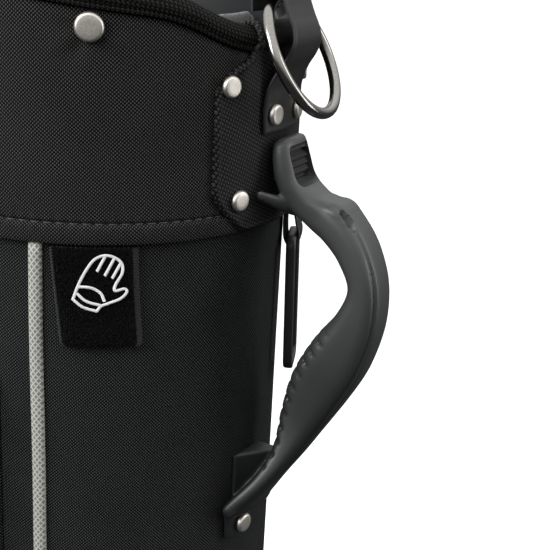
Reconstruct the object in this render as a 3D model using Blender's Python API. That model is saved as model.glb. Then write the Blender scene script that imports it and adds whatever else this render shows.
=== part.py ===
"""Golf bag: a stiff fabric-covered tube on a moulded boot, with a rubber carry handle.

Lengths below are in millimetres and angles in degrees; MM turns them into metres when a mesh
is made. The bag stands on z = 0 with its axis on Z and its carry handle toward +X. An azimuth
of 0 is the front (-Y) and an azimuth of 90 is the handle side (+X).
"""
import math

import bmesh
import bpy
from mathutils import Matrix, Vector

MM = 0.001
GAP = 0.3                      # clearance between pieces that touch

# Tube
SEAM_Z = 725.0                 # lower fold of the upper panel
SHELL_OUT = 102.0
SHELL_WALL = 2.5
PANEL_WALL = 2.9
PANEL_OUT = SHELL_OUT + GAP + PANEL_WALL
LINER_OUT = 93.8
LINER_WALL = 1.0
STAY_CENTRE = 96.6
STAY_RADIUS = 2.4
TUBE_SIDES = 48

# Sloping mouth and its rolled collar
MOUTH_RISE = 113.2             # collar's lower edge above the seam, front and back
MOUTH_SLOPE = 13.0             # drop toward the handle, rise toward the spine
MOUTH_DIP = 14.0               # extra local drop under the handle's neck
MOUTH_DIP_WIDTH = 32.0
COLLAR_CENTRE = 102.0
COLLAR_HALF_DEPTH = 5.6
COLLAR_HALF_HEIGHT = 6.2
FRAME_OUT = 99.2
FRAME_WALL = 6.0
FRAME_HEIGHT = 26.0

# Divider bars, an H seen from above: two chords and a link
CHORD_X = 52.0
BAR_HALF_WIDTH = 5.0
BAR_HEIGHT = 16.0
BAR_DROP = 9.0                 # top of a bar below the collar's lower edge

# Boot
BOOT_OUT = 107.5
BOOT_HEIGHT = 58.0
TREAD_HEIGHT = 4.0
TREAD_OUT = 101.5
BOOT_FLOOR = 5.0
PAD_HEIGHT = 5.0

# Handle patch
HANDLE_SIDE = 90.0
PATCH_WALL = 1.9
PATCH_IN = PANEL_OUT + GAP
PATCH_OUT = PATCH_IN + PATCH_WALL
PATCH_TOP = SEAM_Z + 83.8
NECK_HALF_ANGLE = 14.0

# Rivets
RIVET_RADIUS = 5.6
CUFF_RIVET_RADIUS = 7.0
RIVET_CAP = 2.0
SHANK_RADIUS = 1.8
SHANK_CLEARANCE = 0.3
SHANK_END = SHELL_OUT - SHELL_WALL + 0.4

# Strap ring
RING_PIVOT_X = 102.5
RING_PIVOT_Z = SEAM_Z + 111.5
RING_RADIUS = 30.0
RING_WIRE = 2.9
RING_LEAN = 28.0

# Utility loop
LOOP_AZIMUTH = 108.2
LOOP_PIVOT_R = 108.4
LOOP_PIVOT_Z = SEAM_Z - 16.0
LOOP_HALF_WIDTH = 13.0
LOOP_LENGTH = 74.0
LOOP_BAR = 2.3

# Glove tab
TAB_AZIMUTH = 31.5
TAB_HALF_WIDTH = 20.5
TAB_LENGTH = 49.0
TAB_PIVOT_R = 103.2
TAB_PIVOT_Z = SEAM_Z - 2.0

# Reflective piping
PIPING_AZIMUTH = 16.2
PIPING_HALF_WIDTH = 3.3
PIPING_WALL = 2.6

# Pockets
POCKET_AZIMUTHS = {"front": -31.0, "rear": -149.0}
POCKET_HALF_ANGLE = 36.0
POCKET_DEPTH = 42.0
POCKET_BOTTOM = 130.0
POCKET_TOP = SEAM_Z - 74.0
POCKET_WALL = 2.5
ZIP_OFFSET = 30.0
ZIP_BOTTOM = 190.0
ZIP_TOP = 600.0
ZIP_SLOT_HALF = 3.6
ZIP_TAPE_HALF = 3.2
POCKET_CORNER = 22.0
POCKET_BACK_EASE = 0.9
SLIDER_LENGTH = 14.0
SLIDER_WIDTH = 9.0
SLIDER_HEIGHT = 3.4
SLIDER_INSET = 2.0                # from the slot's top to the slider
PULLER_LIFT = 1.6                 # from the slider's face to the puller's hinge
PULLER_RISE = 3.0                 # from the slider's middle to the puller's hinge

# Carry handle stations from the tongue's tip to the foot: (radius, height above the seam,
# half depth, half width, how far it follows the bag's curve, shift towards the front)
HANDLE_STATIONS = [
    (112.4, 45.0, 2.6, 9.0, 1.0, 0.0),
    (112.9, 42.5, 4.6, 14.0, 1.0, 0.0),
    (114.7, 33.2, 5.9, 16.0, 1.0, 0.0),
    (117.9, 22.6, 6.4, 16.0, 0.6, 0.0),
    (124.3, 14.5, 7.5, 14.5, 0.2, 0.0),
    (133.6, 8.7, 9.2, 13.5, 0.0, 0.0),
    (143.9, 2.0, 9.6, 14.0, 0.0, 0.0),
    (153.3, -9.7, 8.6, 14.5, 0.0, 0.0),
    (159.6, -26.1, 8.0, 15.0, 0.0, 0.0),
    (156.8, -45.5, 11.6, 15.5, 0.0, 0.0),
    (148.1, -64.8, 15.5, 15.5, 0.0, 0.0),
    (138.2, -84.4, 15.5, 15.0, 0.0, 0.0),
    (131.2, -103.2, 12.0, 15.0, 0.0, 1.5),
    (126.2, -120.0, 7.6, 15.5, 0.0, 5.5),
    (119.5, -135.0, 5.6, 16.5, 0.3, 11.5),
    (112.5, -148.0, 5.2, 17.5, 0.8, 17.0),
    (108.8, -155.0, 4.6, 17.0, 1.0, 19.5),
    (105.6, -159.0, 2.3, 12.0, 1.0, 20.2),
    (105.2, -174.0, 2.2, 10.0, 1.0, 20.4),
]
HORN_REACH = 24.4

# Ring strap stations: (radius, height above the seam, half width, follows the bag)
RING_STRAP_PATH = [(108.7, 49.0, 21.0, 1.0), (108.7, 62.0, 21.0, 1.0), (109.4, 70.0, 20.0, 0.8),
                   (112.2, 78.5, 18.0, 0.4), (116.4, 86.0, 17.5, 0.1), (118.4, 92.5, 16.5, 0.0),
                   (117.4, 98.5, 15.5, 0.0), (115.0, 103.5, 15.5, 0.0), (112.8, 108.5, 15.5, 0.0),
                   (111.0, 113.0, 15.5, 0.0), (107.6, 116.8, 15.5, 0.0), (102.4, 118.2, 15.5, 0.0),
                   (97.2, 116.2, 15.5, 0.0), (94.9, 111.0, 15.5, 0.0), (95.2, 105.2, 15.5, 0.0)]
RING_STRAP_THICKNESS = 1.8

# Rivets as (azimuth, height above the seam)
PATCH_RIVETS = {"patch_rivet_upper_front": (67.4, 72.6), "patch_rivet_upper_rear": (112.6, 72.6),
                "patch_rivet_lower_front": (71.8, 16.8)}
RING_RIVETS = {"ring_rivet_front": (83.4, 56.8), "ring_rivet_rear": (96.6, 56.8)}
HANDLE_RIVETS = {"handle_rivet": (79.2, -166.5)}
UTILITY_RIVET = (LOOP_AZIMUTH, 16.8)
HANDLE_RIVET_SEAT = 108.0
# Rivets of the mouth, a fixed drop below its edge, and of the boot, as azimuths
CUFF_RIVETS = {"cuff_rivet_front_handle": 30.0, "cuff_rivet_rear_handle": 150.0,
               "cuff_rivet_front_spine": -30.0, "cuff_rivet_rear_spine": -150.0}
CUFF_RIVET_DROP = 7.6
BOOT_RIVETS = {"boot_rivet_1": 45.0, "boot_rivet_2": 135.0,
               "boot_rivet_3": 225.0, "boot_rivet_4": 315.0}
BOOT_RIVET_Z = 42.0


BLACK_FABRIC = ((0.022, 0.023, 0.025), 0.85, 0.0)
BLACK_LEATHER = ((0.020, 0.020, 0.022), 0.50, 0.0)
GREY_RUBBER = ((0.075, 0.080, 0.082), 0.60, 0.0)
BLACK_PLASTIC = ((0.018, 0.018, 0.019), 0.45, 0.0)
NICKEL = ((0.62, 0.58, 0.54), 0.28, 1.0)
SILVER_PIPING = ((0.52, 0.53, 0.52), 0.55, 0.0)
WHITE_THREAD = ((0.85, 0.85, 0.85), 0.60, 0.0)
GREY_LINING = ((0.060, 0.062, 0.066), 0.80, 0.0)
FOAM = ((0.030, 0.030, 0.032), 0.95, 0.0)


def clear_scene():
    for item in list(bpy.data.objects):
        bpy.data.objects.remove(item, do_unlink=True)


def finish(name, mesh_data, look, pivot=(0.0, 0.0, 0.0), smooth_angle=35.0):
    """Write a bmesh built in millimetres as one object whose origin is at pivot."""
    bmesh.ops.recalc_face_normals(mesh_data, faces=mesh_data.faces)
    offset = Matrix.Translation(-Vector(pivot))
    mesh_data.transform(Matrix.Scale(MM, 4) @ offset)
    mesh = bpy.data.meshes.new(name)
    mesh_data.to_mesh(mesh)
    mesh_data.free()
    item = bpy.data.objects.new(name, mesh)
    item.location = Vector(pivot) * MM
    bpy.context.collection.objects.link(item)
    mesh.shade_smooth()
    mesh.set_sharp_from_angle(angle=math.radians(smooth_angle))
    color, roughness, metallic = look
    surface = bpy.data.materials.new(name)
    surface.use_nodes = True
    shader = surface.node_tree.nodes["Principled BSDF"]
    shader.inputs["Base Color"].default_value = (*color, 1.0)
    shader.inputs["Roughness"].default_value = roughness
    shader.inputs["Metallic"].default_value = metallic
    mesh.materials.append(surface)
    return item


def polar(azimuth, radius, z):
    """Point at an azimuth (0 = front, 90 = handle side), a radius and a height."""
    angle = math.radians(azimuth)
    return Vector((radius * math.sin(angle), -radius * math.cos(angle), z))


def local_frame(azimuth):
    """Outward and sideways unit vectors at an azimuth."""
    outward = polar(azimuth, 1.0, 0.0)
    sideways = polar(azimuth + 90.0, 1.0, 0.0)
    return outward, sideways


def loft(sections, closed):
    """Skin equal loops of points; end loops are capped unless the loft closes on itself."""
    mesh_data = bmesh.new()
    loops = [[mesh_data.verts.new(point) for point in section] for section in sections]
    count = len(loops[0])
    pairs = list(zip(loops, loops[1:]))
    if closed:
        pairs.append((loops[-1], loops[0]))
    for first, second in pairs:
        for i in range(count):
            j = (i + 1) % count
            mesh_data.faces.new((first[i], first[j], second[j], second[i]))
    if not closed:
        mesh_data.faces.new(loops[0])
        mesh_data.faces.new(loops[-1])
    return mesh_data


def hoop(section_at, sides=TUBE_SIDES):
    """Close a loft round the bag's axis; section_at(azimuth) lists (radius, z) pairs."""
    sections = []
    for i in range(sides):
        azimuth = 360.0 * i / sides
        sections.append([polar(azimuth, r, z) for r, z in section_at(azimuth)])
    return loft(sections, closed=True)


def tube_section(r_in, r_out, low, high):
    return [(r_out, low), (r_out, high), (r_in, high), (r_in, low)]


def mouth_z(azimuth):
    """Height of the collar's lower edge at an azimuth."""
    from_handle = (azimuth - HANDLE_SIDE + 180.0) % 360.0 - 180.0
    slope = MOUTH_SLOPE * math.sin(math.radians(azimuth))
    dip = MOUTH_DIP * math.exp(-(from_handle / MOUTH_DIP_WIDTH) ** 4)
    return SEAM_Z + MOUTH_RISE - slope - dip


def cut(target, cutter):
    cutter.hide_render = True
    cutter.display_type = "WIRE"
    step = target.modifiers.new("cut", "BOOLEAN")
    step.operation = "DIFFERENCE"
    step.object = cutter


def drill(target, places):
    """Cut a round shank hole through target at each (azimuth, z)."""
    mesh_data = bmesh.new()
    for azimuth, z in places:
        outward, sideways = local_frame(azimuth)
        up = Vector((0.0, 0.0, 1.0))
        turn = Matrix((up, sideways, outward)).transposed().to_4x4()
        place = Matrix.Translation(polar(azimuth, SHELL_OUT, z)) @ turn
        radius = SHANK_RADIUS + SHANK_CLEARANCE
        bmesh.ops.create_cone(mesh_data, cap_ends=True, segments=8, radius1=radius,
                              radius2=radius, depth=30.0, matrix=place)
    cutter = finish(target.name + "_holes", mesh_data, BLACK_PLASTIC)
    cut(target, cutter)


def rivet(name, azimuth, z, seat, radius=RIVET_RADIUS, look=NICKEL):
    """Flat-capped tubular rivet whose cap sits on radius seat."""
    outward, sideways = local_frame(azimuth)
    up = Vector((0.0, 0.0, 1.0))
    base = seat + GAP
    rings = [(SHANK_RADIUS, SHANK_END), (SHANK_RADIUS, base), (radius, base),
             (radius, base + 1.3), (radius - 0.7, base + RIVET_CAP)]
    sections = []
    for reach, height in rings:
        section = []
        for i in range(10):
            angle = 2.0 * math.pi * i / 10
            side = sideways * (reach * math.cos(angle)) + up * (reach * math.sin(angle))
            section.append(outward * height + side + Vector((0.0, 0.0, z)))
        sections.append(section)
    return finish(name, loft(sections, closed=False), look)


def wrapped_band(azimuth, half_angle, r_in, r_out, low, high, columns):
    """Plate bent round the bag; low and high give its edges at an angle from its middle."""
    sections = []
    for i in range(columns + 1):
        offset = half_angle * (2.0 * i / columns - 1.0)
        section = tube_section(r_in, r_out, low(offset), high(offset))
        sections.append([polar(azimuth + offset, r, z) for r, z in section])
    return loft(sections, closed=False)


def strap(path, thickness, azimuth):
    """Strap along (radius, z, half width, how far it follows the bag's curve) stations."""
    outward, sideways = local_frame(azimuth)
    up = Vector((0.0, 0.0, 1.0))
    centres = [outward * station[0] + up * station[1] for station in path]
    sections = []
    for i, centre in enumerate(centres):
        before = centres[max(i - 1, 0)]
        after = centres[min(i + 1, len(centres) - 1)]
        normal = sideways.cross((after - before).normalized()) * (thickness / 2.0)
        half_width, follow = path[i][2:]
        rows = []
        for share in (-1.0, -0.5, 0.0, 0.5, 1.0):
            side = half_width * share
            sag = follow * (PATCH_OUT - math.sqrt(PATCH_OUT ** 2 - side ** 2))
            rows.append(centre + sideways * side - outward * sag)
        sections.append([p - normal for p in rows] + [p + normal for p in reversed(rows)])
    return loft(sections, closed=False)


# ---------------------------------------------------------------- tube and mouth

def make_body_shell():
    bottom = TREAD_HEIGHT + GAP + BOOT_FLOOR + GAP
    mesh_data = hoop(lambda a: tube_section(SHELL_OUT - SHELL_WALL, SHELL_OUT,
                                            bottom, mouth_z(a) - GAP))
    return finish("body_shell", mesh_data, BLACK_FABRIC)


def make_upper_panel():
    mesh_data = hoop(lambda a: tube_section(SHELL_OUT + GAP, PANEL_OUT,
                                            SEAM_Z, mouth_z(a) - GAP))
    return finish("upper_panel", mesh_data, BLACK_FABRIC)


def make_collar():
    def section(azimuth):
        middle = mouth_z(azimuth) + COLLAR_HALF_HEIGHT
        points = []
        for i in range(8):
            angle = math.radians(22.5 + 45.0 * i)
            scale = 1.0 / math.cos(math.radians(22.5))
            points.append((COLLAR_CENTRE + COLLAR_HALF_DEPTH * scale * math.cos(angle),
                           middle + COLLAR_HALF_HEIGHT * scale * math.sin(angle)))
        return points
    return finish("rolled_collar", hoop(section), BLACK_FABRIC)


def make_top_frame():
    mesh_data = hoop(lambda a: tube_section(FRAME_OUT - FRAME_WALL, FRAME_OUT,
                                            mouth_z(a) - FRAME_HEIGHT, mouth_z(a) - GAP))
    return finish("top_frame", mesh_data, BLACK_PLASTIC)


def make_liner():
    bottom = TREAD_HEIGHT + GAP + BOOT_FLOOR + GAP
    mesh_data = hoop(lambda a: tube_section(LINER_OUT - LINER_WALL, LINER_OUT,
                                            bottom, mouth_z(a) - FRAME_HEIGHT - GAP))
    return finish("inner_liner", mesh_data, GREY_LINING)


def make_stays():
    """Four rods between shell and liner that keep the tube straight."""
    bottom = TREAD_HEIGHT + GAP + BOOT_FLOOR + GAP
    for number, azimuth in enumerate((45.0, 135.0, 225.0, 315.0), start=1):
        top = min(mouth_z(azimuth - 2.0), mouth_z(azimuth + 2.0)) - FRAME_HEIGHT - GAP
        centre = polar(azimuth, STAY_CENTRE, (bottom + top) / 2.0)
        mesh_data = bmesh.new()
        bmesh.ops.create_cone(mesh_data, cap_ends=True, segments=8, radius1=STAY_RADIUS,
                              radius2=STAY_RADIUS, depth=top - bottom,
                              matrix=Matrix.Translation(centre))
        finish("stay_rod_%d" % number, mesh_data, WHITE_THREAD)


def bar(name, start, end):
    """Padded divider bar with an oval section between two points on its top line."""
    start = Vector(start)
    end = Vector(end)
    along = (end - start).normalized()
    side = along.cross(Vector((0.0, 0.0, 1.0))).normalized()
    sections = []
    for point in (start, end):
        section = []
        for i in range(12):
            angle = 2.0 * math.pi * i / 12
            across = side * (BAR_HALF_WIDTH * math.cos(angle))
            height = BAR_HEIGHT / 2.0 * (math.sin(angle) - 1.0)
            section.append(point + across + Vector((0.0, 0.0, height)))
        sections.append(section)
    return finish(name, loft(sections, closed=False), BLACK_FABRIC)


def make_divider():
    inner = FRAME_OUT - FRAME_WALL - GAP
    reach = math.sqrt(inner ** 2 - (CHORD_X + BAR_HALF_WIDTH) ** 2) - 1.0
    handle_z = mouth_z(30.0) - BAR_DROP
    spine_z = mouth_z(-30.0) - BAR_DROP
    bar("divider_bar_handle_side", (CHORD_X, -reach, handle_z), (CHORD_X, reach, handle_z))
    bar("divider_bar_spine_side", (-CHORD_X, -reach, spine_z), (-CHORD_X, reach, spine_z))
    end = CHORD_X - BAR_HALF_WIDTH - GAP
    bar("divider_bar_link", (-end, 0.0, spine_z - 1.0), (end, 0.0, handle_z - 1.0))


# ---------------------------------------------------------------- boot

def make_boot():
    floor_bottom = TREAD_HEIGHT + GAP
    floor_top = floor_bottom + BOOT_FLOOR
    wall_in = SHELL_OUT + GAP
    profile = [(BOOT_OUT - 4.0, floor_bottom), (BOOT_OUT, floor_bottom + 5.0),
               (BOOT_OUT, BOOT_HEIGHT - 4.0), (BOOT_OUT - 2.0, BOOT_HEIGHT),
               (wall_in, BOOT_HEIGHT), (wall_in, floor_top)]
    sections = [[polar(360.0 * i / TUBE_SIDES, r, z) for i in range(TUBE_SIDES)]
                for r, z in profile]
    return finish("base_boot", loft(sections, closed=False), BLACK_PLASTIC)


def make_tread():
    mesh_data = bmesh.new()
    middle = Matrix.Translation((0.0, 0.0, TREAD_HEIGHT / 2.0))
    bmesh.ops.create_cone(mesh_data, cap_ends=True, segments=TUBE_SIDES, radius1=TREAD_OUT,
                          radius2=TREAD_OUT, depth=TREAD_HEIGHT, matrix=middle)
    return finish("base_tread", mesh_data, GREY_RUBBER)


def make_floor_pad():
    bottom = TREAD_HEIGHT + 2.0 * GAP + BOOT_FLOOR
    mesh_data = bmesh.new()
    radius = LINER_OUT - LINER_WALL - 0.6
    bmesh.ops.create_cone(mesh_data, cap_ends=True, segments=32, radius1=radius,
                          radius2=radius, depth=PAD_HEIGHT,
                          matrix=Matrix.Translation((0.0, 0.0, bottom + PAD_HEIGHT / 2.0)))
    return finish("floor_pad", mesh_data, FOAM)


# ---------------------------------------------------------------- handle side

def patch_low(offset):
    """Lower edge of the handle patch: straight, with cut corners."""
    reach = abs(offset)
    return SEAM_Z + 0.6 + max(0.0, reach - 16.5) * 1.7 + max(0.0, reach - 24.5) * 3.0


def patch_high(offset):
    """Upper edge of the handle patch: cut corners below the neck."""
    reach = abs(offset)
    return PATCH_TOP - max(0.0, reach - 18.0) * 0.8 - max(0.0, reach - 23.5) * 2.2


def make_patch():
    mesh_data = wrapped_band(HANDLE_SIDE, 27.2, PATCH_IN, PATCH_OUT, patch_low, patch_high, 16)
    return finish("handle_patch", mesh_data, BLACK_LEATHER)


def make_patch_neck():
    """Tongue of the patch that folds over the rolled collar into the mouth."""
    depth = COLLAR_HALF_DEPTH + 2.0 * GAP
    height = COLLAR_HALF_HEIGHT + 2.0 * GAP
    arc = [-25.0 + 24.0 * i for i in range(9)]
    sections = []
    for column in range(9):
        offset = NECK_HALF_ANGLE * (column / 4.0 - 1.0)
        azimuth = HANDLE_SIDE + offset
        middle = mouth_z(azimuth) + COLLAR_HALF_HEIGHT
        foot = PATCH_TOP + GAP
        section = []
        for extra in (PATCH_WALL, 0.0):
            leg = [(PATCH_IN + extra, foot)]
            for degrees in arc:
                angle = math.radians(degrees)
                scale = 1.0 / math.cos(math.radians(22.5))
                leg.append((COLLAR_CENTRE + (depth * scale + extra) * math.cos(angle),
                            middle + (height * scale + extra) * math.sin(angle)))
            section.extend(leg if extra else reversed(leg))
        sections.append([polar(azimuth, r, z) for r, z in section])
    return finish("patch_neck", loft(sections, closed=False), BLACK_LEATHER)


def make_ring_strap():
    path = [(r, SEAM_Z + z, half, follow) for r, z, half, follow in RING_STRAP_PATH]
    mesh_data = strap(path, RING_STRAP_THICKNESS, HANDLE_SIDE)
    return finish("ring_strap", mesh_data, BLACK_LEATHER)


def make_ring():
    """Round steel ring that hangs from the strap and leans outward."""
    pivot = Vector((RING_PIVOT_X, 0.0, RING_PIVOT_Z))
    lean = math.radians(RING_LEAN)
    down = Vector((math.sin(lean), 0.0, -math.cos(lean)))
    side = Vector((0.0, 1.0, 0.0))
    face = down.cross(side)
    centre = pivot + down * RING_RADIUS
    sections = []
    for i in range(32):
        angle = 2.0 * math.pi * i / 32
        spoke = side * math.cos(angle) + down * math.sin(angle)
        section = []
        for k in range(8):
            turn = 2.0 * math.pi * k / 8
            section.append(centre + spoke * (RING_RADIUS + RING_WIRE * math.cos(turn))
                           + face * (RING_WIRE * math.sin(turn)))
        sections.append(section)
    return finish("strap_ring", loft(sections, closed=True), NICKEL, pivot)


def bent(radius, side, z, follow):
    """Point of the handle, pulled in where it follows the bag's curve."""
    sag = follow * (SHELL_OUT - math.sqrt(SHELL_OUT ** 2 - side ** 2))
    return Vector((radius - sag, side, SEAM_Z + z))


def handle_section(before, station, after):
    radius, z, half_depth, half_width, follow, shift = station
    along = Vector((after[0] - before[0], 0.0, after[1] - before[1])).normalized()
    normal = Vector((-along.z, 0.0, along.x))
    section = []
    for i in range(14):
        angle = 2.0 * math.pi * i / 14
        cos, sin = math.cos(angle), math.sin(angle)
        across = math.copysign(abs(cos) ** 0.7, cos) * half_width
        depth = math.copysign(abs(sin) ** 0.7, sin) * half_depth
        section.append(bent(radius + normal.x * depth, across - shift, z + normal.z * depth,
                            follow))
    return section


def make_horns():
    """Two thin arms beside the tongue's root that brace the handle against the patch."""
    sections = []
    for i in range(13):
        side = HORN_REACH * (i / 6.0 - 1.0)
        reach = abs(side) / HORN_REACH
        radius = 119.5 - 9.2 * reach ** 1.3
        z = SEAM_Z + 9.5 + 9.0 * reach ** 1.5
        size = 5.6 - 3.4 * reach
        sag = reach * (PATCH_OUT - math.sqrt(PATCH_OUT ** 2 - side ** 2))
        section = []
        for k in range(8):
            turn = 2.0 * math.pi * k / 8
            section.append(Vector((radius - sag + size * math.cos(turn), side,
                                   z + size * math.sin(turn))))
        sections.append(section)
    return loft(sections, closed=False)


def make_handle():
    sections = []
    last = len(HANDLE_STATIONS) - 1
    for i, station in enumerate(HANDLE_STATIONS):
        before = HANDLE_STATIONS[max(i - 1, 0)]
        after = HANDLE_STATIONS[min(i + 1, last)]
        sections.append(handle_section(before, station, after))
    grip = loft(sections, closed=False)
    bmesh.ops.triangulate(grip, faces=grip.faces)
    handle = finish("carry_handle", grip, GREY_RUBBER)
    horns = finish("handle_horns", make_horns(), GREY_RUBBER)
    horns.hide_render = True
    horns.display_type = "WIRE"
    join = handle.modifiers.new("horns", "BOOLEAN")
    join.operation = "UNION"
    join.object = horns
    window = bmesh.new()
    bmesh.ops.create_cube(window, size=1.0, matrix=Matrix.Translation((113.0, 0.0, SEAM_Z + 30.5))
                          @ Matrix.Diagonal((30.0, 20.0, 15.0, 1.0)))
    cut(handle, finish("handle_window", window, GREY_RUBBER))
    return handle


def make_handle_webbing():
    """Ribbed webbing sewn to the patch and held in the handle's window."""
    mesh_data = bmesh.new()
    place = Matrix.Translation((110.4, 0.0, SEAM_Z + 30.5))
    bmesh.ops.create_cube(mesh_data, size=1.0,
                          matrix=place @ Matrix.Diagonal((4.4, 19.4, 14.4, 1.0)))
    return finish("handle_webbing", mesh_data, BLACK_FABRIC)


def make_utility_tab():
    """Folded leather tab that carries the utility loop."""
    route = [(108.7, 26.0), (108.7, 3.0), (110.6, -7.0), (112.2, -14.0), (111.2, -19.4),
             (107.6, -20.6), (104.9, -17.0), (104.2, -10.0), (104.2, -3.0)]
    path = [(r, SEAM_Z + z, 8.5, 1.0) for r, z in route]
    mesh_data = strap(path, 1.6, LOOP_AZIMUTH)
    return finish("utility_tab", mesh_data, BLACK_LEATHER)


def make_utility_loop():
    """Long moulded loop that hangs from its tab by its top bar."""
    outward, sideways = local_frame(LOOP_AZIMUTH)
    up = Vector((0.0, 0.0, 1.0))
    pivot = polar(LOOP_AZIMUTH, LOOP_PIVOT_R, LOOP_PIVOT_Z)
    corners = []
    radius = 5.0
    centres = [(LOOP_HALF_WIDTH - radius, -radius, 0.0),
               (-LOOP_HALF_WIDTH + radius, -radius, 90.0),
               (-LOOP_HALF_WIDTH + radius, -LOOP_LENGTH + radius, 180.0),
               (LOOP_HALF_WIDTH - radius, -LOOP_LENGTH + radius, 270.0)]
    for across, drop, first in centres:
        for step in range(4):
            angle = math.radians(first + 30.0 * step)
            corners.append((across, drop, math.cos(angle), math.sin(angle)))
    sections = []
    for across, drop, cos, sin in corners:
        section = []
        for k in range(6):
            turn = 2.0 * math.pi * (k + 0.5) / 6
            reach = radius + LOOP_BAR * math.cos(turn)
            lean = -0.03 * (drop + reach * sin)
            section.append(pivot + sideways * (across + reach * cos)
                           + up * (drop + reach * sin)
                           + outward * (LOOP_BAR * 0.8 * math.sin(turn) + lean))
        sections.append(section)
    return finish("utility_loop", loft(sections, closed=True), BLACK_PLASTIC, pivot)


# ---------------------------------------------------------------- glove tab

def tab_layer(name, r_in, thickness, half_width, low, high, look):
    """One layer of the glove tab, bent gently round the bag."""
    half_angle = math.degrees(half_width / SHELL_OUT)
    mesh_data = wrapped_band(TAB_AZIMUTH, half_angle, r_in, r_in + thickness,
                             lambda o: TAB_PIVOT_Z - low, lambda o: TAB_PIVOT_Z - high, 6)
    return finish(name, mesh_data, look, polar(TAB_AZIMUTH, TAB_PIVOT_R, TAB_PIVOT_Z))


def make_glove_tab():
    backing = SHELL_OUT + GAP
    pile = backing + 1.4 + GAP
    tab_layer("glove_tab_backing", backing, 1.4, TAB_HALF_WIDTH, TAB_LENGTH, -0.6, BLACK_FABRIC)
    tab_layer("glove_tab_pile", pile, 1.9, TAB_HALF_WIDTH - 3.2, TAB_LENGTH - 3.0, 3.5,
              BLACK_FABRIC)
    for name, side in (("glove_tab_selvedge_left", -1.0), ("glove_tab_selvedge_right", 1.0)):
        half_angle = math.degrees(1.3 / SHELL_OUT)
        middle = TAB_AZIMUTH + side * math.degrees((TAB_HALF_WIDTH - 1.4) / SHELL_OUT)
        mesh_data = wrapped_band(middle, half_angle, pile, pile + 1.2,
                                 lambda o: TAB_PIVOT_Z - TAB_LENGTH,
                                 lambda o: TAB_PIVOT_Z - 3.5, 1)
        finish(name, mesh_data, BLACK_FABRIC, polar(TAB_AZIMUTH, TAB_PIVOT_R, TAB_PIVOT_Z))
    make_glove_icon(pile + 1.9 + GAP)


def make_glove_icon(r_in):
    """Plain embroidered mitten-like hand with a thumb, as one raised patch of thread."""
    outline = [(-5.0, -11.0), (4.5, -11.0), (6.0, -3.0), (10.0, 2.5), (8.5, 5.5), (5.8, 3.0),
               (6.0, 9.5), (3.0, 12.0), (-3.0, 12.0), (-6.0, 9.0)]
    tilt = math.radians(-24.0)
    outward, sideways = local_frame(TAB_AZIMUTH)
    up = Vector((0.0, 0.0, 1.0))
    middle = Vector((0.0, 0.0, TAB_PIVOT_Z - 20.0))
    sections = []
    for radius in (r_in, r_in + 0.6):
        section = []
        for across, height in outline:
            a = across * math.cos(tilt) - height * math.sin(tilt)
            h = across * math.sin(tilt) + height * math.cos(tilt)
            section.append(middle + outward * radius + sideways * a + up * h)
        sections.append(section)
    return finish("glove_tab_icon", loft(sections, closed=False), WHITE_THREAD,
                  polar(TAB_AZIMUTH, TAB_PIVOT_R, TAB_PIVOT_Z))


# ---------------------------------------------------------------- piping and pockets

def make_piping():
    half_angle = math.degrees(PIPING_HALF_WIDTH / SHELL_OUT)
    for name, azimuth in (("piping_front", PIPING_AZIMUTH), ("piping_rear", 180.0 - PIPING_AZIMUTH)):
        mesh_data = wrapped_band(azimuth, half_angle, SHELL_OUT + GAP,
                                 SHELL_OUT + GAP + PIPING_WALL,
                                 lambda o: BOOT_HEIGHT + GAP, lambda o: SEAM_Z - GAP, 2)
        finish(name, mesh_data, SILVER_PIPING)


def pocket_section(share, inset, z, through):
    """Closed outline of the pocket at one height; through runs its back into the tube."""
    half = SHELL_OUT * math.sin(math.radians(POCKET_HALF_ANGLE)) - inset
    seat = SHELL_OUT + POCKET_BACK_EASE
    edge = math.sqrt(seat ** 2 - half ** 2)
    front = SHELL_OUT + POCKET_DEPTH * share - inset
    radius = POCKET_CORNER * share - inset
    points = []
    for step in range(5):
        angle = math.radians(90.0 - 22.5 * step)
        points.append((front - radius + radius * math.cos(angle),
                       half - radius + radius * math.sin(angle)))
    points += [(x, -y) for x, y in reversed(points)]
    if through:
        points += [(60.0, -half), (60.0, half)]
    else:
        points += [(edge, -half)]
        for step in range(1, 6):
            side = -half + 2.0 * half * step / 6
            points.append((math.sqrt(seat ** 2 - side ** 2), side))
        points += [(edge, half)]
    return points, z


def pocket_solid(azimuth, inset, through):
    outward, sideways = local_frame(azimuth)
    low = POCKET_BOTTOM + inset
    high = POCKET_TOP - inset
    levels = [(low, 0.60), (low + 9.0, 0.86), (low + 28.0, 1.0),
              (high - 34.0, 1.0), (high - 11.0, 0.82), (high, 0.55)]
    sections = []
    for z, share in levels:
        points, height = pocket_section(share, inset, z, through)
        sections.append([outward * x + sideways * y + Vector((0.0, 0.0, height))
                         for x, y in points])
    return loft(sections, closed=False)


def box_at(azimuth, radius, side, z, size):
    """Box with its middle at a radius and a sideways offset; size is (out, side, up)."""
    outward, sideways = local_frame(azimuth)
    middle = outward * radius + sideways * side + Vector((0.0, 0.0, z))
    turn = Matrix((outward, sideways, Vector((0.0, 0.0, 1.0)))).transposed().to_4x4()
    mesh_data = bmesh.new()
    bmesh.ops.create_cube(mesh_data, size=1.0,
                          matrix=Matrix.Translation(middle) @ turn @ Matrix.Diagonal((*size, 1.0)))
    return mesh_data


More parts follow.
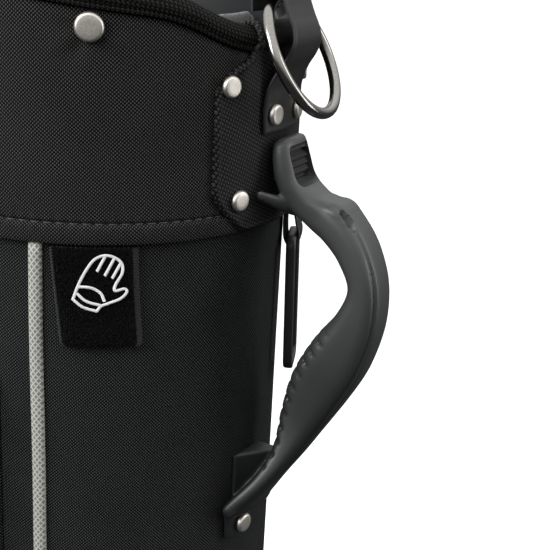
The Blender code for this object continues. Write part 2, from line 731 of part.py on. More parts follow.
def make_pocket(label, azimuth):
    """Bellows pocket, open at the back against the tube, with its zip, slider and puller."""
    name = label + "_pocket"
    shell = finish(name, pocket_solid(azimuth, 0.0, False), BLACK_FABRIC)
    cut(shell, finish(name + "_inside", pocket_solid(azimuth, POCKET_WALL, True), BLACK_FABRIC))
    face = SHELL_OUT + POCKET_DEPTH
    side = ZIP_OFFSET if label == "front" else -ZIP_OFFSET
    middle = (ZIP_BOTTOM + ZIP_TOP) / 2.0
    length = ZIP_TOP - ZIP_BOTTOM
    slot = box_at(azimuth, face, side, middle, (12.0, 2.0 * ZIP_SLOT_HALF, length))
    cut(shell, finish(name + "_slot", slot, BLACK_FABRIC))
    track = box_at(azimuth, face - POCKET_WALL / 2.0, side, middle,
                   (POCKET_WALL, 2.0 * ZIP_TAPE_HALF, length - 2.0 * GAP))
    finish(label + "_zip_track", track, BLACK_PLASTIC)
    make_slider(label, azimuth, side, face + GAP)


def make_slider(label, azimuth, side, face):
    """Zip slider on its track with a puller hung from a crossbar lug."""
    outward, sideways = local_frame(azimuth)
    up = Vector((0.0, 0.0, 1.0))
    middle_z = ZIP_TOP - SLIDER_LENGTH / 2.0 - SLIDER_INSET
    body = box_at(azimuth, face + SLIDER_HEIGHT / 2.0, side, middle_z,
                  (SLIDER_HEIGHT, SLIDER_WIDTH, SLIDER_LENGTH))
    finish(label + "_zip_slider", body, NICKEL,
           outward * face + sideways * side + up * middle_z)
    pivot = (outward * (face + SLIDER_HEIGHT + PULLER_LIFT) + sideways * side
             + up * (middle_z + PULLER_RISE))
    outline = [(-3.0, 0.9), (3.0, 0.9), (4.0, -16.0), (4.0, -24.0), (2.0, -27.0),
               (-2.0, -27.0), (-4.0, -24.0), (-4.0, -16.0)]
    sections = []
    for depth in (-0.9, 0.9):
        sections.append([pivot + outward * depth + sideways * x + up * z for x, z in outline])
    finish(label + "_zip_puller", loft(sections, closed=False), NICKEL, pivot)


# ---------------------------------------------------------------- fasteners

def rivet_places(table):
    return [(azimuth, SEAM_Z + z) for azimuth, z in table.values()]


def make_rivets(parts):
    """Drill every layer that a rivet passes and set the rivets."""
    patch = rivet_places(PATCH_RIVETS) + [(UTILITY_RIVET[0], SEAM_Z + UTILITY_RIVET[1])]
    ring = rivet_places(RING_RIVETS)
    handle = rivet_places(HANDLE_RIVETS)
    cuff = [(azimuth, mouth_z(azimuth) - CUFF_RIVET_DROP) for azimuth in CUFF_RIVETS.values()]
    boot = [(azimuth, BOOT_RIVET_Z) for azimuth in BOOT_RIVETS.values()]
    drill(parts["patch"], patch + ring)
    drill(parts["upper_panel"], patch + ring + cuff)
    drill(parts["body_shell"], patch + ring + cuff + handle + boot)
    drill(parts["ring_strap"], ring)
    drill(parts["utility_tab"], patch[-1:])
    drill(parts["handle"], handle)
    drill(parts["boot"], boot)
    for (name, _), (azimuth, z) in zip(PATCH_RIVETS.items(), patch):
        rivet(name, azimuth, z, PATCH_OUT)
    for (name, _), (azimuth, z) in zip(RING_RIVETS.items(), ring):
        rivet(name, azimuth, z, PATCH_OUT + GAP + RING_STRAP_THICKNESS + 0.1)
    for (name, _), (azimuth, z) in zip(HANDLE_RIVETS.items(), handle):
        rivet(name, azimuth, z, HANDLE_RIVET_SEAT)
    for (name, _), (azimuth, z) in zip(CUFF_RIVETS.items(), cuff):
        rivet(name, azimuth, z, PANEL_OUT, CUFF_RIVET_RADIUS)
    for (name, _), (azimuth, z) in zip(BOOT_RIVETS.items(), boot):
        rivet(name, azimuth, z, BOOT_OUT)
    rivet("utility_rivet", UTILITY_RIVET[0], SEAM_Z + UTILITY_RIVET[1], PATCH_OUT + GAP + 1.8)


def main():
    clear_scene()
    parts = {
        "body_shell": make_body_shell(),
        "upper_panel": make_upper_panel(),
        "boot": make_boot(),
        "patch": make_patch(),
        "ring_strap": make_ring_strap(),
        "utility_tab": make_utility_tab(),
        "handle": make_handle(),
    }
    make_collar()
    make_top_frame()
    make_liner()
    make_stays()
    make_divider()
    make_tread()
    make_floor_pad()
    make_patch_neck()
    make_ring()
    make_handle_webbing()
    make_utility_loop()
    make_glove_tab()
    make_piping()
    for label, azimuth in POCKET_AZIMUTHS.items():
        make_pocket(label, azimuth)
    make_rivets(parts)


main()
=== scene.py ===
"""Looks of the golf bag: woven nylon tube, leather handle patch, rubber handle, steel ring.

Lengths are in millimetres and angles in degrees, as in the model's source; MM turns them into
metres when a mesh is made. Azimuth 0 is the front (-Y) and 90 is the handle side (+X).
"""
import math
import random

import bmesh
import bpy
import numpy as np
from mathutils import Matrix, Vector


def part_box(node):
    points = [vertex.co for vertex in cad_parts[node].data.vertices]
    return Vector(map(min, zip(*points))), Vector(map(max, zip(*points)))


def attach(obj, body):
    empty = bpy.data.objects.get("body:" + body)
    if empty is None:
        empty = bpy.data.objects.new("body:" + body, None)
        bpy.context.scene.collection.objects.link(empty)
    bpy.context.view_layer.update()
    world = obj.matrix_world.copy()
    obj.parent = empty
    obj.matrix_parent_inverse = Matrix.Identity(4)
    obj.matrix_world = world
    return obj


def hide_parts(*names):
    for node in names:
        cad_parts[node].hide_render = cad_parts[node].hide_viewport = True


MM = 0.001
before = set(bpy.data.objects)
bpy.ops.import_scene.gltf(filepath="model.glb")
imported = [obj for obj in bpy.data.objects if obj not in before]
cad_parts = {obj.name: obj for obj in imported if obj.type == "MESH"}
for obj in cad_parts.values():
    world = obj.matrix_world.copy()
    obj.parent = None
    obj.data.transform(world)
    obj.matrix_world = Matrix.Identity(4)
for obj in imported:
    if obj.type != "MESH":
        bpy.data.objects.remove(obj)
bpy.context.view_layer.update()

# Sizes that repeat the model's own driving dimensions
SEAM_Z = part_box("upper_panel")[0][2] / MM
SHELL_OUT = 102.0
SHELL_IN = 99.5
PATCH_IN = 105.5
PATCH_OUT = 107.4
MOUTH_RISE = 113.2
MOUTH_SLOPE = 13.0
MOUTH_DIP = 14.0
MOUTH_DIP_WIDTH = 32.0
COLLAR_CENTRE = 102.0
COLLAR_HALF_DEPTH = 5.6
COLLAR_HALF_HEIGHT = 6.2
HANDLE_SIDE = 90.0
LOOP_AZIMUTH = 108.2
TAB_AZIMUTH = 31.5
CLOTH_RADIUS = 103.0           # arcs on the tube's cloth are measured at this radius
PANEL_ARC = 1.8326             # millimetres of arc for a degree on the upper panel
PATCH_ARC = 1.86               # the same on the handle patch
RING_PIVOT = (102.5, 0.0, SEAM_Z + 111.5)
RING_RADIUS = 30.0
RING_WIRE = 2.85
RING_LEAN = 28.0
# painted shade: the rubber's colour is painted darker toward the bottom of the handle, standing in
# for the shade on its lower arm and foot
RUBBER_SHADE_Z = SEAM_Z - 130.0  # the handle's rubber is darkest from here down
RUBBER_SHADE_FADE = 95.0
FLOOR_Z = 9.7
FRAME_DEPTH = 26.4
DIVIDER_X = 52.0
DIVIDER_HALF = 72.0
DIVIDER_DROP = 9.0
WAVE_COUNT = 7
NOISE_ROUGHNESS = 0.55
UP = np.array((0.0, 0.0, 1.0))


# ---------------------------------------------------------------- geometry helpers

def polar(azimuth, radius, z):
    """Points at azimuths, radii and heights, as an array whose last axis is x, y, z."""
    azimuth, radius, z = np.broadcast_arrays(azimuth, radius, z)
    angle = np.radians(azimuth)
    return np.stack([radius * np.sin(angle), -radius * np.cos(angle), z], axis=-1)


def local_frame(azimuth):
    return polar(azimuth, 1.0, 0.0), polar(azimuth + 90.0, 1.0, 0.0)


def mouth_z(azimuth):
    from_handle = (np.asarray(azimuth) - HANDLE_SIDE + 180.0) % 360.0 - 180.0
    slope = MOUTH_SLOPE * np.sin(np.radians(azimuth))
    dip = MOUTH_DIP * np.exp(-(from_handle / MOUTH_DIP_WIDTH) ** 4)
    return SEAM_Z + MOUTH_RISE - slope - dip


def smoothstep(low, high, value):
    t = np.clip((value - low) / (high - low), 0.0, 1.0)
    return t * t * (3.0 - 2.0 * t)


def full_turn(count, whole=2.0 * math.pi):
    """Even steps round a circle, in radians by default, without the closing one."""
    return np.linspace(0.0, whole, count, endpoint=False)


def unit_rows(vectors):
    return vectors / np.linalg.norm(vectors, axis=1)[:, None]


def signed_power(value, power):
    """Power of a number's size that keeps its sign; makes a round section squarish."""
    return np.sign(value) * np.abs(value) ** power


def crowded(count, power):
    """Steps from -1 to 1 that lie closer together toward both ends."""
    u = np.linspace(-1.0, 1.0, count)
    return np.sign(u) * (1.0 - (1.0 - np.abs(u)) ** power)


def run_along(points):
    """Length of a line of points up to each of them."""
    return np.append(0.0, np.cumsum(np.linalg.norm(np.diff(points, axis=0), axis=1)))


def uv_of(across, run):
    """Surface coordinates from two arrays that broadcast against each other."""
    return np.stack(np.broadcast_arrays(across, run), axis=-1)


def new_object(name, mesh, material, angle=40.0):
    item = bpy.data.objects.new(name, mesh)
    bpy.context.scene.collection.objects.link(item)
    mesh.materials.append(material)
    mesh.shade_smooth()
    if angle:
        mesh.set_sharp_from_angle(angle=math.radians(angle))
    return item


def turn_outward(mesh):
    """Turn every face outward."""
    data = bmesh.new()
    data.from_mesh(mesh)
    bmesh.ops.recalc_face_normals(data, faces=data.faces)
    data.to_mesh(mesh)
    data.free()


def mesh_from(name, points, faces, loop_uv, material, angle=40.0, recalc=True):
    mesh = bpy.data.meshes.new(name)
    mesh.from_pydata((np.asarray(points) * MM).tolist(), [], faces)
    if loop_uv is not None:
        layer = mesh.uv_layers.new(name="surface_mm")
        layer.data.foreach_set("uv", np.asarray(loop_uv, dtype=np.float32).ravel())
    if recalc:
        turn_outward(mesh)
    return new_object(name, mesh, material, angle)


def grid(name, points, uv, material, wrap_rows=False, wrap_columns=False, caps=False,
         angle=40.0):
    """Quads over an array of points; uv has one more row or column where the grid wraps.

    Where the look needs no surface coordinates, uv is None and all of them are zero.
    """
    rows, columns = points.shape[:2]
    if uv is None:
        uv = np.zeros((rows + 1, columns + 1, 2))
    row_count = rows if wrap_rows else rows - 1
    column_count = columns if wrap_columns else columns - 1
    i, j = np.meshgrid(np.arange(row_count), np.arange(column_count), indexing="ij")
    i, j = i.ravel(), j.ravel()
    ni, nj = (i + 1) % rows, (j + 1) % columns
    faces = np.stack([i * columns + j, i * columns + nj, ni * columns + nj, ni * columns + j], 1)
    loop_uv = np.stack([uv[i, j], uv[i, j + 1], uv[i + 1, j + 1], uv[i + 1, j]], 1)
    faces = faces.tolist()
    loop_uv = loop_uv.reshape(-1, 2)
    if caps:
        for row in (0, rows - 1):
            faces.append([row * columns + k for k in range(columns)])
            loop_uv = np.concatenate([loop_uv, uv[row, :columns]])
    return mesh_from(name, points.reshape(-1, 3), faces, loop_uv, material, angle)


def hoop(name, azimuths, r, z, material, angle=40.0):
    """Closed ring of a closed section; r and z have one row for each azimuth."""
    points = polar(azimuths[:, None], r, z)
    step = np.hypot(np.diff(r, axis=1, append=r[:, :1]), np.diff(z, axis=1, append=z[:, :1]))
    run = np.concatenate([np.zeros((len(r), 1)), np.cumsum(step, axis=1)], axis=1)
    run = np.concatenate([run, run[:1]])
    around = np.radians(np.append(azimuths, azimuths[0] + 360.0)) * SHELL_OUT
    return grid(name, points, uv_of(around[:, None], run), material, wrap_rows=True,
                wrap_columns=True, angle=angle)


def slab(name, outer, inner, uv, material, angle=50.0):
    """Closed plate between an outer and an inner array of points."""
    rows, columns = outer.shape[:2]
    points = np.concatenate([outer, inner[:, ::-1]], axis=1)
    both = np.concatenate([uv, uv[:, ::-1], uv[:, :1]], axis=1)
    width = 2 * columns
    item_faces = []
    item_uv = []
    for i in range(rows - 1):
        for j in range(width):
            k = (j + 1) % width
            item_faces.append([i * width + j, i * width + k, (i + 1) * width + k,
                               (i + 1) * width + j])
            item_uv += [both[i, j], both[i, j + 1], both[i + 1, j + 1], both[i + 1, j]]
    for i in (0, rows - 1):
        for j in range(columns - 1):
            item_faces.append([i * width + j, i * width + j + 1, i * width + width - 2 - j,
                               i * width + width - 1 - j])
            item_uv += [both[i, j], both[i, j + 1], both[i, j + 1], both[i, j]]
    return mesh_from(name, points.reshape(-1, 3), item_faces, item_uv, material, angle)


def smooth_path(points, count):
    """Catmull-Rom curve through rows of numbers, at even steps of their index."""
    points = np.asarray(points, dtype=float)
    padded = np.concatenate([2 * points[:1] - points[1:2], points,
                             2 * points[-1:] - points[-2:-1]])
    t = np.linspace(0.0, len(points) - 1.0, count)
    i = np.minimum(t.astype(int), len(points) - 2)
    f = (t - i)[:, None]
    p0, p1, p2, p3 = padded[i], padded[i + 1], padded[i + 2], padded[i + 3]
    return 0.5 * (2 * p1 + (p2 - p0) * f + (2 * p0 - 5 * p1 + 4 * p2 - p3) * f ** 2
                  + (3 * p1 - p0 - 3 * p2 + p3) * f ** 3)


def even_path(points, spacing):
    """The same curve with points at an even spacing along it."""
    dense = smooth_path(points, 40 * len(points))
    run = run_along(dense)
    places = np.arange(0.0, run[-1] + 1e-6, spacing)
    return np.stack([np.interp(places, run, dense[:, k]) for k in range(dense.shape[1])], 1)


def tube_points(path, radius, sides, closed=False):
    """Rings of points round a path, with the frame carried along it."""
    path = np.asarray(path, dtype=float)
    if closed:
        tangent = np.roll(path, -1, 0) - np.roll(path, 1, 0)
    else:
        tangent = np.gradient(path, axis=0)
    tangent = unit_rows(tangent)
    side = np.cross(tangent[0], UP if abs(tangent[0][2]) < 0.9 else np.array((1.0, 0.0, 0.0)))
    rings = []
    turn = np.arange(sides) * 2.0 * np.pi / sides
    for point, along in zip(path, tangent):
        side = side - along * np.dot(side, along)
        side /= np.linalg.norm(side)
        other = np.cross(along, side)
        rings.append(point + radius * (np.cos(turn)[:, None] * side
                                       + np.sin(turn)[:, None] * other))
    return np.array(rings)


class Cloud:
    """Gathers many small closed tubes into one mesh."""

    def __init__(self):
        self.points = []
        self.faces = []
        self.count = 0

    def tube(self, path, radius, sides, closed=False):
        rings = tube_points(path, radius, sides, closed)
        rows = len(rings)
        base = self.count
        self.points.append(rings.reshape(-1, 3))
        for i in range(rows if closed else rows - 1):
            for j in range(sides):
                a = base + i * sides + j
                b = base + i * sides + (j + 1) % sides
                c = base + ((i + 1) % rows) * sides + (j + 1) % sides
                d = base + ((i + 1) % rows) * sides + j
                self.faces.append([a, b, c, d])
        if not closed:
            self.faces.append([base + j for j in range(sides)][::-1])
            self.faces.append([base + (rows - 1) * sides + j for j in range(sides)])
        self.count += rows * sides

    def make(self, name, material):
        points = np.concatenate(self.points)
        return mesh_from(name, points, self.faces, None, material, angle=60.0, recalc=False)


def outline_distance(outline, x, y):
    """Distance from points to a closed outline."""
    outline = np.asarray(outline, dtype=float)
    best = np.full(np.shape(x), 1e9)
    for (x0, y0), (x1, y1) in zip(outline, np.roll(outline, -1, 0)):
        length = (x1 - x0) ** 2 + (y1 - y0) ** 2
        if length == 0.0:
            continue
        t = np.clip(((x - x0) * (x1 - x0) + (y - y0) * (y1 - y0)) / length, 0.0, 1.0)
        best = np.minimum(best, np.hypot(x - x0 - t * (x1 - x0), y - y0 - t * (y1 - y0)))
    return best


def waves(a, b, seed, scale):
    """Sum of a few slow waves over two coordinates, about -1 to 1."""
    draw = random.Random(seed)
    total = 0.0
    for _ in range(WAVE_COUNT):
        angle = draw.uniform(0.0, math.pi)
        pitch = scale * draw.uniform(0.6, 1.7)
        phase = draw.uniform(0.0, 2.0 * math.pi)
        total = total + np.sin((a * math.cos(angle) + b * math.sin(angle))
                               * 2.0 * math.pi / pitch + phase)
    return total / WAVE_COUNT * 1.6


# ---------------------------------------------------------------- material helpers

class Graph:
    """Small helper that writes a material's node tree."""

    def __init__(self, name, color=(0.02, 0.02, 0.02), roughness=0.6, **constants):
        self.material = bpy.data.materials.new(name)
        self.material.use_nodes = True
        self.tree = self.material.node_tree
        self.shader = self.tree.nodes["Principled BSDF"]
        self.shader.inputs["Base Color"].default_value = (*color, 1.0)
        self.shader.inputs["Roughness"].default_value = roughness
        for key, value in constants.items():
            socket = self.shader.inputs[key.replace("_", " ")]
            socket.default_value = value

    def link(self, source, target):
        self.tree.links.new(source, target)

    def put(self, socket, value):
        if isinstance(value, bpy.types.NodeSocket):
            self.link(value, socket)
        else:
            socket.default_value = value

    def math(self, operation, a, b=0.0, c=0.0, clamp=False):
        node = self.tree.nodes.new("ShaderNodeMath")
        node.operation = operation
        node.use_clamp = clamp
        for socket, value in zip(node.inputs, (a, b, c)):
            self.put(socket, value)
        return node.outputs[0]

    def mix(self, factor, a, b):
        """Blend of two colours."""
        node = self.tree.nodes.new("ShaderNodeMix")
        node.data_type = "RGBA"
        self.put(node.inputs[0], factor)
        for socket, value in ((node.inputs[6], a), (node.inputs[7], b)):
            if isinstance(value, tuple):
                value = (*value, 1.0)
            self.put(socket, value)
        return node.outputs[2]

    def lerp(self, factor, a, b):
        """Blend of two numbers."""
        node = self.tree.nodes.new("ShaderNodeMix")
        node.data_type = "FLOAT"
        self.put(node.inputs[0], factor)
        self.put(node.inputs[2], a)
        self.put(node.inputs[3], b)
        return node.outputs[0]

    def surface(self):
        """The mesh's own millimetre coordinates, as two numbers."""
        node = self.tree.nodes.new("ShaderNodeUVMap")
        node.uv_map = "surface_mm"
        split = self.tree.nodes.new("ShaderNodeSeparateXYZ")
        self.link(node.outputs[0], split.inputs[0])
        return split.outputs[0], split.outputs[1]

    def place(self):
        """Object coordinates, in millimetres."""
        node = self.tree.nodes.new("ShaderNodeTexCoord")
        scaler = self.tree.nodes.new("ShaderNodeVectorMath")
        scaler.operation = "SCALE"
        self.link(node.outputs["Object"], scaler.inputs[0])
        scaler.inputs["Scale"].default_value = 1.0 / MM
        return scaler.outputs[0]

    def noise(self, scale, detail):
        node = self.tree.nodes.new("ShaderNodeTexNoise")
        self.link(self.place(), node.inputs["Vector"])
        node.inputs["Scale"].default_value = scale
        node.inputs["Detail"].default_value = detail
        node.inputs["Roughness"].default_value = NOISE_ROUGHNESS
        return node.outputs["Fac"]

    def bump(self, height, distance):
        """Surface direction from a height map that is distance millimetres deep."""
        node = self.tree.nodes.new("ShaderNodeBump")
        node.inputs["Strength"].default_value = 1.0
        node.inputs["Distance"].default_value = distance * MM
        self.link(height, node.inputs["Height"])
        return node.outputs[0]

    def color(self, value):
        self.put(self.shader.inputs["Base Color"], value)

    def rough(self, value):
        self.put(self.shader.inputs["Roughness"], value)

    def normal(self, value):
        self.put(self.shader.inputs["Normal"], value)

    def weave(self, pitch, turn=0.0):
        """Height (0 to 1) of a plain weave, and whether the warp is on top."""
        u, v = self.surface()
        cos, sin = math.cos(math.radians(turn)) / pitch, math.sin(math.radians(turn)) / pitch
        a = self.math("ADD", self.math("MULTIPLY", u, cos), self.math("MULTIPLY", v, sin))
        b = self.math("SUBTRACT", self.math("MULTIPLY", v, cos), self.math("MULTIPLY", u, sin))
        cell = self.math("ADD", self.math("FLOOR", a), self.math("FLOOR", b))
        over = self.math("LESS_THAN", self.math("FLOORED_MODULO", cell, 2.0), 1.0)
        profiles = []
        for coordinate in (a, b):
            centred = self.math("SUBTRACT", self.math("FRACT", coordinate), 0.5)
            square = self.math("MULTIPLY", centred, centred)
            profiles.append(self.math("SUBTRACT", 1.0, self.math("MULTIPLY", square, 4.0)))
        height = self.lerp(over, profiles[1], profiles[0])
        return height, over


def woven(name, pitch, low, high, turn=0.0, depth=0.35, sheen=0.0, weft=0.06):
    """Woven cloth: colour follows the weave's height, with painted shade in the gaps and a painted
    highlight on the thread tops that is weaker on the weft, and a slow change of tone.
    """
    g = Graph(name, roughness=0.7, Sheen_Weight=sheen, Sheen_Roughness=0.45,
              Specular_IOR_Level=0.04)
    height, over = g.weave(pitch, turn)
    fibre = g.noise(1.9, 4.0)
    slow = g.noise(0.035, 3.0)
    # painted shade and highlight: the colour rises with the thread height, near black in the gaps
    # and light on the tops
    tone = g.math("MULTIPLY", g.math("POWER", height, 1.5), g.lerp(over, weft, 1.0))
    tone = g.math("MULTIPLY", tone, g.lerp(fibre, 0.60, 1.35))
    tone = g.math("MULTIPLY", tone, g.lerp(slow, 0.75, 1.25), clamp=True)
    g.color(g.mix(tone, low, high))
    g.rough(g.lerp(fibre, 0.56, 0.74))
    g.normal(g.bump(g.math("ADD", height, g.math("MULTIPLY", fibre, 0.25)), depth))
    return g.material


# Name, darker and lighter colour, noise scale and detail, roughness, range of roughness,
# bump in millimetres, other constants of the shader
PLAIN_LOOKS = {
    "plastic": ("black_plastic", (0.013, 0.014, 0.015), (0.024, 0.025, 0.026), 1.6, 4.0,
                0.42, (0.36, 0.52), 0.05, {"Specular_IOR_Level": 0.5}),
    "boot": ("boot_rubber", (0.016, 0.017, 0.018), (0.032, 0.034, 0.035), 0.8, 5.0,
             0.6, (0.5, 0.7), 0.12, {"Specular_IOR_Level": 0.4}),
    "fibre": ("glass_fibre", (0.55, 0.55, 0.50), (0.72, 0.71, 0.66), 0.5, 5.0,
              0.4, None, None, {}),
    "foam": ("foam", (0.018, 0.018, 0.02), (0.045, 0.045, 0.047), 1.1, 5.0,
             0.95, None, 0.4, {}),
    "pile": ("loop_pile", (0.001, 0.001, 0.001), (0.008, 0.008, 0.008), 0.7, 4.0,
             0.8, None, None, {"Specular_IOR_Level": 0.1}),
    "thread": ("white_thread", (0.74, 0.74, 0.74), (0.92, 0.92, 0.91), 2.2, 3.0,
               0.55, None, None, {"Sheen_Weight": 0.4}),
    "black_thread": ("black_thread", (0.012, 0.012, 0.013), (0.050, 0.050, 0.050), 2.2, 3.0,
                     0.6, None, None, {"Sheen_Weight": 0.3}),
    "nickel": ("satin_nickel", (0.68, 0.64, 0.58), (0.80, 0.76, 0.70), 1.4, 5.0,
               0.34, (0.34, 0.52), None, {"Metallic": 1.0}),
    "steel": ("polished_steel", (0.22, 0.21, 0.195), (0.34, 0.33, 0.31), 0.8, 6.0,
              0.16, (0.10, 0.26), 0.02, {"Metallic": 1.0}),
}


def mottled(name, low, high, scale, detail, roughness, rough_range, bump, constants):
    """Plain material whose colour, and where given its roughness and bump, follow a noise."""
    g = Graph(name, roughness=roughness, **constants)
    fine = g.noise(scale, detail)
    g.color(g.mix(fine, low, high))
    if rough_range:
        g.rough(g.lerp(fine, *rough_range))
    if bump:
        g.normal(g.bump(fine, bump))
    return g.material


def make_materials():
    looks = {}
    looks["nylon"] = woven("black_woven_nylon", 0.86, (0.0004, 0.0004, 0.0004),
                           (0.082, 0.083, 0.081), turn=3.0, depth=0.2)
    looks["nylon_body"] = woven("black_woven_nylon_body", 0.86, (0.0003, 0.0003, 0.0004),
                                (0.074, 0.078, 0.078), turn=-3.0, depth=0.2)
    looks["binding"] = woven("coarse_binding", 1.45, (0.0008, 0.0008, 0.0008),
                             (0.034, 0.035, 0.032), turn=45.0, depth=0.6, weft=0.25)
    looks["webbing"] = woven("ribbed_webbing", 1.1, (0.002, 0.002, 0.002),
                             (0.040, 0.040, 0.041), depth=0.3, weft=0.45)
    # painted light: a copy of the ribbed webbing painted nearly three times lighter, for the ribs
    # seen in the handle's window
    looks["lit_window_webbing"] = woven("lit_window_webbing", 0.8, (0.002, 0.002, 0.002),
                                    (0.110, 0.110, 0.110), depth=0.2, weft=0.4)
    looks["divider"] = woven("divider_cover", 0.8, (0.010, 0.010, 0.011),
                             (0.050, 0.051, 0.053), depth=0.15, sheen=0.5, weft=0.7)
    looks["lining"] = woven("grey_lining", 0.7, (0.03, 0.031, 0.033), (0.085, 0.087, 0.09),
                            depth=0.1, weft=0.8)

    g = Graph("black_leather", roughness=0.5, Specular_IOR_Level=0.16)
    grain = g.noise(0.9, 5.0)
    cell, over = g.weave(1.3, 20.0)
    slow = g.noise(0.05, 3.0)
    # painted shade and highlight: the leather's colour follows the woven imprint's height, dark in
    # its hollows and light on its raised cells
    tone = g.math("MULTIPLY", g.math("POWER", cell, 1.3), g.lerp(over, 0.1, 1.0))
    g.color(g.mix(g.math("MULTIPLY", tone, g.lerp(slow, 0.5, 1.2)), (0.0005, 0.0005, 0.0005),
                  (0.052, 0.053, 0.051)))
    g.rough(g.lerp(grain, 0.46, 0.66))
    g.normal(g.bump(g.math("ADD", cell, g.math("MULTIPLY", grain, 0.6)), 0.2))
    looks["leather"] = g.material

    g = Graph("smooth_leather", roughness=0.5, Specular_IOR_Level=0.45)
    grain = g.noise(1.3, 5.0)
    slow = g.noise(0.06, 3.0)
    g.color(g.mix(slow, (0.006, 0.006, 0.006), (0.014, 0.015, 0.014)))
    g.rough(g.lerp(grain, 0.44, 0.60))
    g.normal(g.bump(grain, 0.07))
    looks["strap"] = g.material

    g = Graph("grey_rubber", roughness=0.45, Specular_IOR_Level=0.6)
    fine = g.noise(2.6, 4.0)
    slow = g.noise(0.03, 3.0)
    # painted shade: below, the rubber's own mottled tone is mixed toward near black down the handle
    # by height, standing in for the shade on its lower arm and foot
    unshaded_rubber = g.mix(slow, (0.034, 0.037, 0.036), (0.044, 0.047, 0.046))
    split = g.tree.nodes.new("ShaderNodeSeparateXYZ")
    g.link(g.place(), split.inputs[0])
    height = g.math("MULTIPLY_ADD", split.outputs[2], 1.0 / RUBBER_SHADE_FADE,
                    -RUBBER_SHADE_Z / RUBBER_SHADE_FADE, clamp=True)
    g.color(g.mix(height, (0.010, 0.011, 0.011), unshaded_rubber))
    g.rough(g.lerp(fine, 0.38, 0.50))
    g.normal(g.bump(fine, 0.035))
    looks["rubber"] = g.material

    looks["piping"] = make_piping_look()

    g = Graph("satin_selvedge", roughness=0.5, Specular_IOR_Level=0.3)
    ribs = g.math("SINE", g.math("MULTIPLY", g.surface()[1], 2.0 * math.pi / 0.75))
    # painted shade and highlight: the colour follows the ribs, dark in the grooves and light on the
    # crests
    g.color(g.mix(g.math("MULTIPLY_ADD", ribs, 0.5, 0.5), (0.005, 0.005, 0.005),
                  (0.026, 0.026, 0.027)))
    g.normal(g.bump(ribs, 0.12))
    looks["selvedge"] = g.material

    for key, values in PLAIN_LOOKS.items():
        looks[key] = mottled(*values)
    return looks


def make_piping_look():
    """Silver-grey net of crossing threads."""
    g = Graph("silver_piping", roughness=0.45, Sheen_Weight=0.2, Specular_IOR_Level=0.5)
    u, v = g.surface()
    lines = []
    for sign in (1.0, -1.0):
        slant = g.math("ADD", g.math("MULTIPLY", u, sign / 2.6), g.math("MULTIPLY", v, 1.0 / 3.4))
        centred = g.math("ABSOLUTE", g.math("SUBTRACT", g.math("FRACT", slant), 0.5))
        lines.append(g.math("SUBTRACT", 1.0, g.math("MULTIPLY", centred, 3.4), clamp=True))
    net = g.math("MAXIMUM", lines[0], lines[1])
    fibre = g.noise(1.7, 4.0)
    tone = g.math("MULTIPLY", net, g.lerp(fibre, 0.7, 1.2), clamp=True)
    g.color(g.mix(tone, (0.19, 0.20, 0.18), (0.60, 0.60, 0.55)))
    g.rough(g.lerp(tone, 0.6, 0.38))
    g.normal(g.bump(net, 0.22))
    return g.material


LOOKS = make_materials()


# ---------------------------------------------------------------- tube, panel and collar

def place_piece(item, body, slot, *nodes):
    """Ride and replaced nodes of one piece; its slot is not used."""
    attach(item, body)
    if nodes:
        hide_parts(*nodes)
    return item


def make_body_shell():
    azimuths = full_turn(240, 360.0)
    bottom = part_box("body_shell")[0][2] / MM
    share = np.linspace(0.0, 1.0, 110)
    top = mouth_z(azimuths)[:, None] - 0.4
    outer_z = bottom + (top - bottom) * share
    swell = 0.28 * waves(azimuths[:, None] * 1.78, outer_z * 0.6, 3, 90.0)
    fade = smoothstep(bottom + 40.0, bottom + 120.0, outer_z)
    outer_r = SHELL_OUT - 0.1 + swell * fade
    inner_z = outer_z[:, ::-18]
    inner_r = np.full(inner_z.shape, SHELL_IN)
    item = hoop("body_shell_cloth", azimuths, np.concatenate([outer_r, inner_r], 1),
                np.concatenate([outer_z, inner_z], 1), LOOKS["nylon_body"])
    place_piece(item, "bag", "black_woven_nylon", "body_shell")


HEM_HEIGHT = 9.6
STITCH_PITCH = 6.0


def panel_radius(azimuth, z):
    """Outer radius of the upper panel: hem roll, stitched groove and soft waves."""
    height = z - SEAM_Z
    across = azimuth * PANEL_ARC
    hem = 0.95 * np.sqrt(np.clip(1.0 - ((height - 4.6) / 5.0) ** 2, 0.0, 1.0))
    groove = 0.95 * np.exp(-((height - HEM_HEIGHT) / 0.9) ** 2)
    ripple = 0.30 * np.cos(across * 2.0 * math.pi / STITCH_PITCH)
    ripple = ripple * np.exp(-((height - HEM_HEIGHT) / 3.0) ** 2)
    soft = 0.38 * waves(across, z, 11, 64.0) * smoothstep(14.0, 40.0, height)
    hem_soft = 0.22 * waves(across, z * 0.3, 12, 34.0) * (1.0 - smoothstep(9.0, 20.0, height))
    return 105.05 + hem - groove + ripple + soft + hem_soft


def rivet_pucker(azimuth, z, centre_azimuth, centre_z):
    """Dimple and short radial folds that a rivet pulls into the cloth round it."""
    x = (azimuth - centre_azimuth) * PANEL_ARC
    y = z - centre_z
    distance = np.hypot(x, y)
    angle = np.arctan2(x, -y)
    dimple = -0.8 * np.exp(-(distance / 9.0) ** 2)
    folds = 0.55 * np.cos(angle * 6.0) * np.exp(-((distance - 12.0) / 7.0) ** 2)
    return dimple + folds * (0.6 + 0.4 * np.cos(angle))


